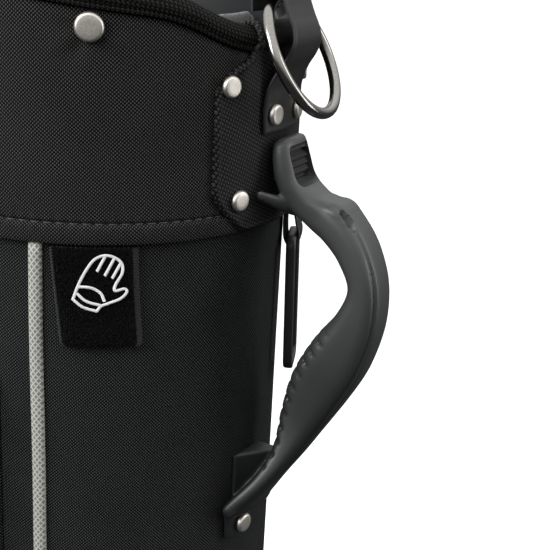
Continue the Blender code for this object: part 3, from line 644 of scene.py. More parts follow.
def make_upper_panel():
    azimuths = full_turn(720, 360.0)
    top = mouth_z(azimuths)[:, None] - 0.2
    low = np.concatenate([np.linspace(0.0, 13.0, 27), np.linspace(14.5, 24.0, 7)])
    low_z = SEAM_Z + np.broadcast_to(low, (len(azimuths), len(low)))
    share = np.linspace(0.0, 1.0, 46)[1:]
    high_z = low_z[:, -1:] + (top - low_z[:, -1:]) * share
    z = np.concatenate([low_z, high_z], 1)
    a = np.broadcast_to(azimuths[:, None], z.shape)
    r = panel_radius(a, z)
    for label in ("front_handle", "rear_handle", "front_spine", "rear_spine"):
        centre_azimuth, centre_z, _ = rivet_place("cuff_rivet_" + label)
        near = (a - centre_azimuth + 180.0) % 360.0 - 180.0
        r = r + rivet_pucker(near, z, 0.0, centre_z)
    tuck = smoothstep(-4.0, 0.0, z - top)
    r = r - 0.8 * tuck
    inner_z = np.concatenate([top, SEAM_Z + np.zeros_like(top) + 1.2], 1)
    inner_r = np.full(inner_z.shape, SHELL_OUT + 0.35)
    fold_r = np.full(top.shape, SHELL_OUT + 1.0)
    fold_z = SEAM_Z + np.zeros_like(top) + 0.1
    item = hoop("upper_panel_cloth", azimuths, np.concatenate([r, inner_r, fold_r], 1),
                np.concatenate([z, inner_z, fold_z], 1), LOOKS["nylon"])
    place_piece(item, "bag", "black_woven_nylon", "upper_panel")

    stitches = Cloud()
    count = int(360.0 * PANEL_ARC / STITCH_PITCH)
    for k in range(count):
        azimuth = 360.0 * k / count
        half = 0.62 * 180.0 / count
        run = np.linspace(-half, half, 5)
        z_line = SEAM_Z + HEM_HEIGHT
        r_line = panel_radius(azimuth + run, z_line + 0.0 * run) + 0.25 * (1.0 - (run / half) ** 2)
        stitches.tube(polar(azimuth + run, r_line, z_line), 0.34, 6)
    item = stitches.make("hem_stitches", LOOKS["black_thread"])
    place_piece(item, "bag", "black_woven_nylon")


def make_collar():
    azimuths = full_turn(480, 360.0)
    turn = np.radians(full_turn(28, 360.0))[None, :]
    middle = mouth_z(azimuths)[:, None] + COLLAR_HALF_HEIGHT
    soft = 0.25 * waves(azimuths[:, None] * 1.8, turn * 6.0, 21, 40.0)
    flat = 1.0 + 0.05 * np.cos(4.0 * turn)
    r = COLLAR_CENTRE + (COLLAR_HALF_DEPTH * flat + soft) * np.cos(turn)
    z = middle + (COLLAR_HALF_HEIGHT * flat + 0.5 * soft) * np.sin(turn)
    item = hoop("collar_binding", azimuths, r, z, LOOKS["binding"])
    place_piece(item, "bag", "coarse_binding", "rolled_collar")

    azimuths = full_turn(2000, 360.0)
    turn = np.radians(full_turn(9, 360.0))[None, :]
    ribs = 0.16 * np.cos(azimuths[:, None] * PANEL_ARC * 2.0 * math.pi / 1.32 + turn)
    size = 0.95 + ribs
    r = 106.0 + size * np.cos(turn)
    z = mouth_z(azimuths)[:, None] + 1.6 + size * np.sin(turn)
    item = hoop("collar_edge_cord", azimuths, r, z, LOOKS["binding"])
    place_piece(item, "bag", "coarse_binding")


# ---------------------------------------------------------------- rivets and ring

def rivet_place(name):
    """Azimuth, height and cap top of a rivet, read from its CAD node."""
    low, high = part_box(name)
    middle = (np.array(low) + np.array(high)) / 2.0 / MM
    azimuth = math.degrees(math.atan2(middle[0], -middle[1]))
    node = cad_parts[name]
    outward, _ = local_frame(azimuth)
    points = np.empty(len(node.data.vertices) * 3)
    node.data.vertices.foreach_get("co", points)
    reach = (points.reshape(-1, 3) @ outward).max() / MM
    return azimuth, middle[2], reach


# Half section of a rivet's cap and shank: (share of the cap's radius, height)
RIVET_PROFILE = [(0.43, 2.30), (0.76, 2.26), (0.84, 2.16), (0.90, 1.92), (0.95, 1.5),
                 (0.985, 0.9), (1.0, 0.35), (0.985, 0.05), (0.93, 0.0), (0.33, 0.0),
                 (0.33, -4.0)]


def make_rivet(name):
    azimuth, z, reach = rivet_place(name)
    low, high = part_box(name)
    size = (high[2] - low[2]) / MM / 2.0
    outward, sideways = local_frame(azimuth)
    turn = full_turn(40)
    profile = np.array(RIVET_PROFILE) * (size, 1.0)
    base = outward * (reach - 2.0)
    ring = np.cos(turn)[:, None] * sideways + np.sin(turn)[:, None] * UP
    points = base + np.array((0.0, 0.0, z)) + profile[:, 1][:, None, None] * outward \
        + profile[:, 0][:, None, None] * ring[None, :, :]
    item = grid(name + "_cap", points, None, LOOKS["nickel"], wrap_columns=True, caps=True,
                angle=50.0)
    place_piece(item, "bag", "nickel", name)


def make_ring():
    lean = math.radians(RING_LEAN)
    down = np.array((math.sin(lean), 0.0, -math.cos(lean)))
    side = np.array((0.0, 1.0, 0.0))
    face = np.cross(down, side)
    turn = full_turn(160)[:, None, None]
    small = full_turn(24)[None, :, None]
    spoke = side * np.cos(turn) + down * np.sin(turn)
    points = np.array(RING_PIVOT) + down * RING_RADIUS \
        + spoke * (RING_RADIUS + RING_WIRE * np.cos(small)) + face * (RING_WIRE * np.sin(small))
    item = grid("steel_ring", points, None, LOOKS["steel"], wrap_rows=True, wrap_columns=True,
                angle=0.0)
    place_piece(item, "ring", "polished_steel", "strap_ring")


# ---------------------------------------------------------------- leather pieces

PATCH_HALF_OUTLINE = [(0.0, 0.6), (16.0, 0.6), (18.5, 3.0), (24.0, 12.4), (26.2, 17.5),
                      (27.2, 24.0), (27.2, 66.0), (26.8, 70.5), (25.0, 75.6), (21.5, 80.2),
                      (17.6, 83.6), (15.4, 86.6), (14.7, 92.0)]


def patch_half_angle(height):
    outline = smooth_path(PATCH_HALF_OUTLINE[1:], 120)
    return np.interp(height, outline[:, 1], outline[:, 0])


def make_patch():
    """Handle patch that runs up over the collar as a neck, with a smooth raised edge."""
    rise = np.concatenate([np.linspace(0.6, 4.0, 7), np.linspace(5.0, 70.0, 46),
                           np.linspace(71.0, 88.5, 20)])
    arc = np.radians(np.linspace(-14.0, 165.0, 30))
    half = np.concatenate([patch_half_angle(rise), np.full(len(arc), 14.7)])
    offset = half[:, None] * crowded(61, 1.35)
    azimuth = HANDLE_SIDE + offset
    mouth = mouth_z(azimuth)
    run = np.concatenate([rise, 89.5 + np.arange(len(arc)) * 1.25])
    across = offset * PATCH_ARC
    outline = [(s * PATCH_ARC, h) for s, h in PATCH_HALF_OUTLINE] + [(27.3, 130.0)]
    outline += [(-x, y) for x, y in reversed(outline)]
    edge = outline_distance(outline, across, np.broadcast_to(run[:, None], across.shape))
    lift = 0.42 * np.exp(-((edge - 1.7) / 0.8) ** 2) + 0.25 * (1.0 - smoothstep(2.2, 3.2, edge))
    lift = lift - 0.95 * (1.0 - smoothstep(0.0, 0.8, edge))
    grids = []
    for extra in (PATCH_OUT - PATCH_IN, 0.0):
        skin = extra + (lift if extra else 0.0 * lift)
        hem = 0.75 * np.exp(-((rise[:, None] - 4.6) / 5.5) ** 4)
        soft = 0.25 * waves(across[:len(rise)], rise[:, None], 31, 46.0)
        r_flat = PATCH_IN - 0.1 + hem + soft + skin[:len(rise)]
        z_flat = np.broadcast_to(SEAM_Z + rise[:, None], r_flat.shape)
        reach = COLLAR_HALF_DEPTH + 0.7 + skin[len(rise):]
        tall = COLLAR_HALF_HEIGHT + 0.7 + skin[len(rise):]
        r_arc = COLLAR_CENTRE + reach * np.cos(arc)[:, None]
        z_arc = mouth[len(rise):] + COLLAR_HALF_HEIGHT + tall * np.sin(arc)[:, None]
        r = np.concatenate([r_flat, r_arc])
        z = np.concatenate([z_flat, z_arc])
        grids.append(polar(azimuth, r, z))
    item = slab("handle_patch_leather", *grids, uv_of(across, run[:, None]),
                LOOKS["leather"])
    place_piece(item, "bag", "black_leather", "handle_patch", "patch_neck")


def strap_mesh(name, stations, thickness, azimuth, rows, material, columns=17):
    """Strap with rounded, slightly raised edges along (radius, z, half width, follow)."""
    outward, sideways = local_frame(azimuth)
    line = smooth_path(stations, rows)
    centre = line[:, 0][:, None] * outward + line[:, 1][:, None] * UP
    along = unit_rows(np.gradient(centre, axis=0))
    normal = np.cross(sideways, along)
    if np.dot(normal[0], outward) < 0.0:
        normal = -normal
    side = line[:, 2][:, None] * crowded(columns, 1.5)
    sag = line[:, 3][:, None] * (PATCH_OUT - np.sqrt(PATCH_OUT ** 2 - side ** 2))
    edge = line[:, 2][:, None] - np.abs(side)
    run = run_along(centre)
    edge = np.minimum(edge, np.minimum(run, run[-1] - run)[:, None] + 0.0 * edge)
    round_off = 0.55 * (1.0 - smoothstep(0.0, 0.8, edge)) * thickness / 2.0
    ridge = 0.18 * np.exp(-((edge - 1.6) / 0.7) ** 2)
    base = centre[:, None, :] + side[..., None] * sideways - sag[..., None] * outward
    outer = base + (thickness / 2.0 - round_off + ridge)[..., None] * normal[:, None, :]
    inner = base - (thickness / 2.0 - round_off)[..., None] * normal[:, None, :]
    return slab(name, outer, inner, uv_of(side, run[:, None]), material)


RING_STRAP_STATIONS = [(108.6, 47.5, 20.0, 1.0), (108.7, 55.0, 21.0, 1.0), (108.8, 62.0, 21.0, 1.0),
                       (109.4, 70.0, 20.2, 0.8), (112.2, 78.5, 18.4, 0.4),
                       (116.4, 86.0, 17.5, 0.1), (118.4, 92.5, 16.5, 0.0),
                       (117.4, 98.5, 15.5, 0.0), (115.0, 103.5, 15.5, 0.0),
                       (112.8, 108.5, 15.5, 0.0), (111.0, 113.0, 15.5, 0.0),
                       (107.6, 116.8, 15.5, 0.0), (102.4, 118.2, 15.5, 0.0),
                       (97.2, 116.2, 15.5, 0.0), (94.9, 111.0, 15.5, 0.0),
                       (95.2, 105.2, 15.5, 0.0)]


def make_ring_strap():
    stations = [(r, SEAM_Z + z, half, follow) for r, z, half, follow in RING_STRAP_STATIONS]
    item = strap_mesh("ring_strap_leather", stations, 1.8, HANDLE_SIDE, 130, LOOKS["strap"])
    place_piece(item, "bag", "black_leather", "ring_strap")


def make_utility_tab():
    route = [(108.7, 26.0), (108.7, 14.0), (108.9, 3.0), (110.6, -7.0), (112.2, -14.0),
             (111.2, -19.4), (107.6, -20.6), (104.9, -17.0), (104.2, -10.0), (104.2, -3.0)]
    stations = [(r, SEAM_Z + z, 8.4, 1.0) for r, z in route]
    item = strap_mesh("utility_tab_leather", stations, 1.6, LOOP_AZIMUTH, 80, LOOKS["strap"],
                      columns=13)
    place_piece(item, "bag", "black_leather", "utility_tab")


def make_utility_loop():
    outward, sideways = local_frame(LOOP_AZIMUTH)
    pivot = polar(LOOP_AZIMUTH, 108.4, SEAM_Z - 16.0)
    radius = 5.0
    half_width = 13.0
    length = 74.0
    corners = [(half_width - radius, -radius, 0.0), (-half_width + radius, -radius, 90.0),
               (-half_width + radius, -length + radius, 180.0),
               (half_width - radius, -length + radius, 270.0)]
    rings = []
    turn = full_turn(16)
    cos_t = signed_power(np.cos(turn), 0.6)
    sin_t = signed_power(np.sin(turn), 0.6)
    for across, drop, first in corners:
        for step in range(10):
            angle = math.radians(first + 10.0 * step)
            reach = radius + 1.95 * cos_t
            y = across + reach * math.cos(angle)
            z = drop + reach * math.sin(angle)
            rings.append(pivot + y[:, None] * sideways + z[:, None] * UP
                         + (2.7 * sin_t - 0.03 * z)[:, None] * outward)
    item = grid("utility_loop_bar", np.array(rings), None, LOOKS["plastic"], wrap_rows=True,
                wrap_columns=True, angle=50.0)
    place_piece(item, "utility_loop", "black_plastic", "utility_loop")


# ---------------------------------------------------------------- carry handle

# (radius, height above the seam, half depth, half width, follows the bag, shift to the front)
HANDLE_STATIONS = [
    (112.4, 45.0, 2.6, 9.0, 1.0, 0.0),
    (112.9, 42.5, 4.6, 14.0, 1.0, 0.0),
    (114.7, 33.2, 5.9, 16.0, 1.0, 0.0),
    (117.9, 22.6, 6.4, 16.0, 0.6, 0.0),
    (124.3, 14.5, 7.5, 14.5, 0.2, 0.0),
    (133.6, 8.7, 9.2, 13.5, 0.0, 0.0),
    (143.9, 2.0, 9.6, 14.0, 0.0, 0.0),
    (153.3, -9.7, 8.6, 14.5, 0.0, 0.0),
    (159.6, -26.1, 8.0, 15.0, 0.0, 0.0),
    (156.8, -45.5, 11.6, 15.5, 0.0, 0.0),
    (148.1, -64.8, 15.5, 15.5, 0.0, 0.0),
    (138.2, -84.4, 15.5, 15.0, 0.0, 0.0),
    (131.2, -103.2, 12.0, 15.0, 0.0, 1.5),
    (126.2, -120.0, 7.6, 15.5, 0.0, 5.5),
    (119.5, -135.0, 5.6, 16.5, 0.3, 11.5),
    (112.5, -148.0, 5.2, 17.5, 0.8, 17.0),
    (108.8, -155.0, 4.6, 17.0, 1.0, 19.5),
    (105.6, -159.0, 2.3, 12.0, 1.0, 20.2),
    (105.2, -174.0, 2.2, 10.0, 1.0, 20.4),
]
HORN_REACH = 24.4
HANDLE_VOXEL = 0.95
HANDLE_SQUARE = 0.62            # power of its section; 1 would be round


def handle_grid():
    """Points of the handle's main sweep, before its horns join."""
    line = smooth_path(HANDLE_STATIONS, 150)
    along = unit_rows(np.gradient(line[:, :2], axis=0))
    normal = np.stack([-along[:, 1], along[:, 0]], 1)
    turn = full_turn(48)
    cos, sin = np.cos(turn), np.sin(turn)
    across = signed_power(cos, HANDLE_SQUARE) * line[:, 3][:, None] - line[:, 5][:, None]
    depth = signed_power(sin, HANDLE_SQUARE) * line[:, 2][:, None]
    radius = line[:, 0][:, None] + normal[:, 0][:, None] * depth
    z = line[:, 1][:, None] + normal[:, 1][:, None] * depth
    sag = line[:, 4][:, None] * (SHELL_OUT - np.sqrt(SHELL_OUT ** 2 - across ** 2))
    return np.stack([radius - sag, across, SEAM_Z + z], axis=-1)


def horn_grid():
    side = np.linspace(-HORN_REACH, HORN_REACH, 41)
    reach = np.abs(side) / HORN_REACH
    radius = 119.5 - 9.2 * reach ** 1.3
    z = SEAM_Z + 9.5 + 9.0 * reach ** 1.5
    size = 5.6 - 3.2 * reach
    sag = reach * (PATCH_OUT - np.sqrt(PATCH_OUT ** 2 - side ** 2))
    turn = full_turn(16)
    return np.stack([(radius - sag)[:, None] + size[:, None] * np.cos(turn),
                     np.broadcast_to(side[:, None], (41, 16)),
                     z[:, None] + size[:, None] * np.sin(turn)], axis=-1)


def make_foot_wing():
    """Web of the handle's foot that flares from the arm to the tube beside it."""
    z = np.linspace(-126.0, -158.0, 24)[:, None]
    line = smooth_path(HANDLE_STATIONS[:-2], 300)
    arm_radius = np.interp(z, line[::-1, 1], line[::-1, 0])
    arm_side = -np.interp(z, line[::-1, 1], line[::-1, 5])
    share = np.linspace(0.0, 1.0, 30)[None, :]
    left = 76.5
    right = HANDLE_SIDE + 3.0 + np.degrees(arm_side / arm_radius)
    azimuth = left + (right - left) * share
    outer = polar(azimuth, 104.4 + (arm_radius - 105.4) * share ** 1.5, SEAM_Z + z)
    inner = polar(azimuth, 102.4, SEAM_Z + z)
    return slab("handle_wing_rubber", outer, inner, np.zeros((24, 30, 2)), LOOKS["rubber"])


def read_points(mesh):
    points = np.empty(len(mesh.vertices) * 3)
    mesh.vertices.foreach_get("co", points)
    return points.reshape(-1, 3) / MM


def write_points(mesh, points):
    mesh.vertices.foreach_set("co", (points * MM).ravel())
    mesh.update()


def bake(item):
    """Replace an object's mesh by what its modifiers make of it."""
    depsgraph = bpy.context.evaluated_depsgraph_get()
    mesh = bpy.data.meshes.new_from_object(item.evaluated_get(depsgraph))
    item.modifiers.clear()
    item.data = mesh
    return mesh


def rounded_box(name, centre, size, radius):
    data = bmesh.new()
    bmesh.ops.create_cube(data, size=1.0,
                          matrix=Matrix.Translation(Vector(centre) * MM)
                          @ Matrix.Diagonal((*[s * MM for s in size], 1.0)))
    bmesh.ops.bevel(data, geom=list(data.edges), offset=radius * MM, segments=4,
                    affect="EDGES", profile=0.5)
    mesh = bpy.data.meshes.new(name)
    data.to_mesh(mesh)
    data.free()
    item = bpy.data.objects.new(name, mesh)
    bpy.context.scene.collection.objects.link(item)
    return item


def subtract(item, cutter):
    step = item.modifiers.new("cut", "BOOLEAN")
    step.operation = "DIFFERENCE"
    step.solver = "EXACT"
    step.object = cutter
    mesh = bake(item)
    bpy.data.objects.remove(cutter, do_unlink=True)
    return mesh


def make_handle():
    item = grid("carry_handle_rubber", handle_grid(), None, LOOKS["rubber"],
                wrap_columns=True, caps=True, angle=0.0)
    horns = grid("handle_horns_rubber", horn_grid(), None, LOOKS["rubber"],
                 wrap_columns=True, caps=True, angle=0.0)
    wing = make_foot_wing()
    data = bmesh.new()
    for part in (item, horns, wing):
        data.from_mesh(part.data)
    data.to_mesh(item.data)
    data.free()
    for part in (horns, wing):
        bpy.data.objects.remove(part, do_unlink=True)
    step = item.modifiers.new("blend", "REMESH")
    step.mode = "VOXEL"
    step.voxel_size = HANDLE_VOXEL * MM
    relax = item.modifiers.new("relax", "SMOOTH")
    relax.factor = 0.5
    relax.iterations = 6
    mesh = bake(item)
    shape_handle(mesh)
    dish = rounded_box("dish", (122.0, 0.0, SEAM_Z + 32.0), (13.0, 24.0, 20.0), 3.0)
    subtract(item, dish)
    window = rounded_box("window", (113.0, 1.6, SEAM_Z + 30.5), (30.0, 23.2, 15.4), 2.4)
    mesh = subtract(item, window)
    mesh.shade_smooth()
    mesh.set_sharp_from_angle(angle=math.radians(38.0))
    place_piece(item, "bag", "grey_rubber", "carry_handle")


def shape_handle(mesh):
    """Raised outer face with creased edges, leaf dent, finger notches and the foot's lip."""
    points = read_points(mesh)
    normals = np.empty(len(mesh.vertices) * 3)
    mesh.vertices.foreach_get("normal", normals)
    normals = normals.reshape(-1, 3)
    line = smooth_path(HANDLE_STATIONS, 400)
    run = np.append(0.0, np.cumsum(np.hypot(*np.diff(line[:, :2], axis=0).T)))
    flat = points[:, (0, 2)] - (0.0, SEAM_Z)
    nearest = np.empty(len(points), dtype=int)
    for start in range(0, len(points), 4000):
        block = flat[start:start + 4000, None, :] - line[None, :, :2]
        nearest[start:start + 4000] = (block ** 2).sum(-1).argmin(1)
    place = run[nearest]
    along = unit_rows(np.gradient(line[:, :2], axis=0)[nearest])
    outer = normals[:, 0] * -along[:, 1] + normals[:, 2] * along[:, 0]
    side = points[:, 1] + line[nearest, 5]
    half = line[nearest, 3]
    move = np.zeros(len(points))
    arm = smoothstep(44.0, 54.0, place) * smoothstep(212.0, 182.0, place)
    face = smoothstep(0.35, 0.75, outer) * arm
    move += 0.9 * face * smoothstep(half - 4.2, half - 5.6, np.abs(side))
    for edge in (-1.0, 1.0):
        crease = np.exp(-((side - edge * (half - 4.6)) / 0.9) ** 2)
        move -= 0.75 * face * crease * smoothstep(70.0, 84.0, place)
    leaf = ((place - 57.0) / 6.0) ** 2 + ((side + 9.4) / 1.8) ** 2
    move -= 2.2 * smoothstep(1.1, 0.2, leaf) * smoothstep(0.1, 0.4, outer)
    inner = smoothstep(0.15, 0.6, -outer)
    finger_range = smoothstep(118.0, 124.0, place) * smoothstep(206.0, 196.0, place)
    fingers = 0.5 + 0.5 * np.cos((place - 112.0) * 2.0 * math.pi / 7.4)
    move -= 1.2 * inner * finger_range * fingers ** 4
    shoulder = np.exp(-((place - 51.0) / 4.5) ** 2) - 0.7 * np.exp(-((place - 40.0) / 4.0) ** 2)
    move += 1.3 * smoothstep(0.3, 0.8, outer) * shoulder
    lip = smoothstep(0.3, 0.7, outer) * np.exp(-((points[:, 2] - SEAM_Z + 155.0) / 2.2) ** 2)
    move += 0.8 * lip
    points = points + normals * move[:, None]
    write_points(mesh, points)


def make_handle_webbing():
    """Ribbed webbing behind the handle's window."""
    z = np.linspace(-7.1, 7.1, 60)[:, None]
    y = np.linspace(-9.7, 12.9, 25)[None, :]
    ribs = 0.6 * np.cos(z * 2.0 * math.pi / 3.4) * smoothstep(6.2, 5.2, np.abs(z))
    drop = -1.6 * smoothstep(4.6, 6.0, np.abs(z))
    tilt = -0.22 * z
    x = 116.9 + ribs + drop + tilt
    outer = np.stack(np.broadcast_arrays(x, y, SEAM_Z + 30.5 + z), -1)
    inner = outer.copy()
    inner[..., 0] = 108.6
    item = slab("handle_webbing_ribs", outer, inner, uv_of(y, z), LOOKS["lit_window_webbing"])
    place_piece(item, "bag", "ribbed_webbing", "handle_webbing")


# ---------------------------------------------------------------- glove tab

TAB_HALF_WIDTH = 20.7
TAB_TOP = SEAM_Z - 1.6
TAB_LENGTH = 50.0


def tab_point(x, drop, lift):
    """Point on the glove tab: x across, drop below its top, lift off its back."""
    curl = 1.1 * smoothstep(30.0, 50.0, drop)
    radius = SHELL_OUT + 0.4 + lift + curl
    return polar(TAB_AZIMUTH + np.degrees(x / CLOTH_RADIUS), radius, TAB_TOP - drop)


def tab_edge(drop, sign):
    """Side edge of the tab: narrower and leaning to the rear lower down, corners rounded."""
    half = TAB_HALF_WIDTH - 1.2 * drop / TAB_LENGTH
    corner = np.clip((drop - (TAB_LENGTH - 3.5)) / 3.5, 0.0, 1.0)
    return sign * (half - 3.5 * (1.0 - np.sqrt(1.0 - corner ** 2))) + tab_lean(drop)


def tab_lean(drop):
    return 3.8 * (np.clip(drop, 0.0, None) / TAB_LENGTH) ** 1.3


def make_glove_tab():
    drop = np.linspace(0.0, TAB_LENGTH, 90)[:, None]
    share = np.linspace(0.0, 1.0, 41)[None, :]
    x = tab_edge(drop, -1.0) * (1.0 - share) + tab_edge(drop, 1.0) * share
    thick = 1.5 - 0.6 * smoothstep(2.0, 0.0, TAB_LENGTH - drop)
    tape = slab("glove_tab_tape", tab_point(x, drop, thick), tab_point(x, drop, 0.0),
                uv_of(x, drop), LOOKS["webbing"])
    place_piece(tape, "glove_tab", "ribbed_webbing", "glove_tab_backing")
    for label, sign, width in (("left", -1.0, 2.0), ("right", 1.0, 3.2)):
        turn = np.linspace(-1.0, 1.0, 11)[None, :]
        drop = np.linspace(0.2, TAB_LENGTH - 0.6, 90)[:, None]
        x = tab_edge(drop, sign) - sign * width / 2.0 + turn * width / 2.0
        high = 1.5 + 0.8 * np.sqrt(np.clip(1.0 - turn ** 2, 0.0, 1.0))
        item = slab("glove_tab_selvedge_band_" + label, tab_point(x, drop, high),
                    tab_point(x, drop, 0.9), uv_of(x, drop), LOOKS["selvedge"])
        place_piece(item, "glove_tab", "ribbed_webbing", "glove_tab_selvedge_" + label)
    make_pile()
    make_icon()


def make_pile():
    """Loop pile: hundreds of small thread loops standing on the tape."""
    draw = random.Random(5)
    loops = Cloud()
    pitch = 0.95
    drop = 0.8
    row = 0
    while drop < TAB_LENGTH - 0.4:
        x = float(tab_edge(drop, -1.0)) + 2.3 + (0.5 * pitch if row % 2 else 0.0)
        while x < float(tab_edge(drop, 1.0)) - 3.4:
            px = x + draw.uniform(-0.3, 0.3)
            pd = drop + draw.uniform(-0.3, 0.3)
            turn = draw.uniform(0.0, math.pi)
            span = draw.uniform(0.35, 0.62)
            tall = draw.uniform(0.9, 1.7)
            lean_x, lean_y = draw.uniform(-0.5, 0.5), draw.uniform(-0.5, 0.5)
            steps = np.radians(np.linspace(0.0, 180.0, 6))
            wx = px + span * np.cos(steps) * math.cos(turn) + lean_x * np.sin(steps)
            wd = pd + span * np.cos(steps) * math.sin(turn) + lean_y * np.sin(steps)
            loops.tube(tab_point(wx, wd, 1.3 + tall * np.sin(steps)), 0.20, 4)
            x += pitch
        drop += pitch * 0.86
        row += 1
    item = loops.make("glove_tab_loops", LOOKS["pile"])
    return place_piece(item, "glove_tab", "loop_pile", "glove_tab_pile")


# Strokes of the hand icon, each a list of (x, height) about its middle, fingers up
ICON_STROKES = [
    [(-5.4, -9.6), (-6.3, -4.0), (-6.6, 2.0), (-6.0, 7.4), (-3.6, 10.6), (0.0, 11.6),
     (3.4, 10.6), (5.2, 7.4), (5.2, 2.6), (6.2, 0.4), (8.8, 2.6), (10.2, 1.8), (9.4, -1.4),
     (6.6, -4.8), (4.6, -7.2), (4.2, -9.6)],
    [(-3.2, 10.4), (-3.0, 4.0)],
    [(0.0, 11.4), (0.2, 3.8)],
    [(2.9, 10.6), (3.0, 4.2)],
    [(-6.0, -4.4), (-2.0, -2.6), (2.0, -2.8), (4.8, -5.0)],
    [(-5.6, -9.6), (-1.0, -10.6), (4.4, -9.6)],
    [(-5.2, -7.0), (-0.8, -8.0), (4.2, -7.0)],
]
ICON_TILT = 28.0
ICON_SIZE = 1.28
ICON_MIDDLE = (2.4, 17.6)
ICON_HALF_STITCH = 0.62


def make_icon():
    """Satin-stitched line icon of an open hand in a plain glove."""
    threads = Cloud()
    cos, sin = math.cos(math.radians(ICON_TILT)), math.sin(math.radians(ICON_TILT))
    for stroke in ICON_STROKES:
        line = even_path(np.array(stroke) * ICON_SIZE, 0.30)
        tangent = unit_rows(np.gradient(line, axis=0))
        for (x, h), (tx, ty) in zip(line, tangent):
            nx, ny = -ty + 0.25 * tx, tx + 0.25 * ty
            run = np.linspace(-ICON_HALF_STITCH, ICON_HALF_STITCH, 4)
            sx, sh = x + nx * run, h + ny * run
            gx = ICON_MIDDLE[0] + sx * cos + sh * sin
            gd = ICON_MIDDLE[1] + sx * sin - sh * cos
            lift = 3.0 + 0.28 * (1.0 - (run / ICON_HALF_STITCH) ** 2)
            threads.tube(tab_point(gx, gd, lift), 0.19, 4)
    item = threads.make("glove_tab_stitching", LOOKS["thread"])
    return place_piece(item, "glove_tab", "white_thread", "glove_tab_icon")


# ---------------------------------------------------------------- piping, pockets, boot

def make_piping():
    for label, azimuth in (("front", 16.2), ("rear", 163.8)):
        z_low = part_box("piping_" + label)[0][2] / MM
        z = np.linspace(z_low, SEAM_Z - 0.3, 220)[:, None]
        turn = np.radians(np.linspace(0.0, 180.0, 19))[None, :]
        wander = 0.35 * np.sin(z / 61.0) + 0.2 * np.sin(z / 23.0)
        x = 3.35 * np.cos(turn) + wander
        end = smoothstep(0.0, 1.6, SEAM_Z - 0.3 - z)
        high = (0.15 + 2.55 * np.sin(turn) ** 0.85) * (0.55 + 0.45 * end)
        place = azimuth + np.degrees(x / CLOTH_RADIUS)
        item = slab("piping_braid_" + label, polar(place, SHELL_OUT + 0.15 + high, z),
                    polar(place, SHELL_OUT + 0.1, z), uv_of(x, z), LOOKS["piping"], angle=60.0)
        place_piece(item, "bag", "silver_piping", "piping_" + label)


POCKET_HALF = SHELL_OUT * math.sin(math.radians(36.0))
POCKET_DEPTH = 42.0
POCKET_FACE = SHELL_OUT + POCKET_DEPTH
POCKET_BACK = SHELL_OUT + 0.9
POCKET_CORNER = 22.0
POCKET_WALL = 2.5
POCKET_LEVELS = [(0.0, 0.60), (9.0, 0.86), (28.0, 1.0), (487.0, 1.0), (510.0, 0.82), (521.0, 0.55)]
ZIP_LOW = 190.0
ZIP_HIGH = 600.0
ZIP_OFFSET = 30.0
POCKET_LOW = 130.0
POCKET_HIGH = 651.0
CORD_INSET = 18                # columns from the pocket's back edge to its seam cord
TOOTH_PITCH = 1.9
SEAM_PITCH = 4.2
SLIDER_Z = 591.0


def pocket_point(azimuth, out, side, z):
    """Point of a pocket: out from the tube's axis, side across, z up."""
    outward, sideways = local_frame(azimuth)
    out, side, z = np.broadcast_arrays(out, side, z)
    return out[..., None] * outward + side[..., None] * sideways + z[..., None] * UP


def pocket_outline(zip_side):
    """Depth share and sideways share round a pocket from one back edge to the other."""
    wall = np.linspace(0.0, 1.0, 14)[:-1]
    corner = np.radians(np.linspace(90.0, 0.0, 14))
    depth = 1.0 - POCKET_CORNER / POCKET_DEPTH * (1.0 - np.cos(corner))
    side = 1.0 - POCKET_CORNER / POCKET_HALF * (1.0 - np.sin(corner))
    flat = POCKET_HALF - POCKET_CORNER
    edges = [zip_side + d for d in (-9.0, -7.0, -5.0, -3.9, -3.4, 0.0, 3.4, 3.9, 5.0, 7.0, 9.0)]
    middle = np.concatenate([np.linspace(-flat, flat, 31)[1:-1], edges])
    middle = np.unique(np.round(middle[np.abs(middle) < flat], 3))
    depth_shares = np.concatenate([wall * depth[0], depth, np.ones(len(middle)),
                                   depth[::-1], wall[::-1] * depth[0]])
    side_shares = np.concatenate([-np.ones(13), -side, middle / POCKET_HALF,
                                  side[::-1], np.ones(13)])
    return depth_shares, side_shares


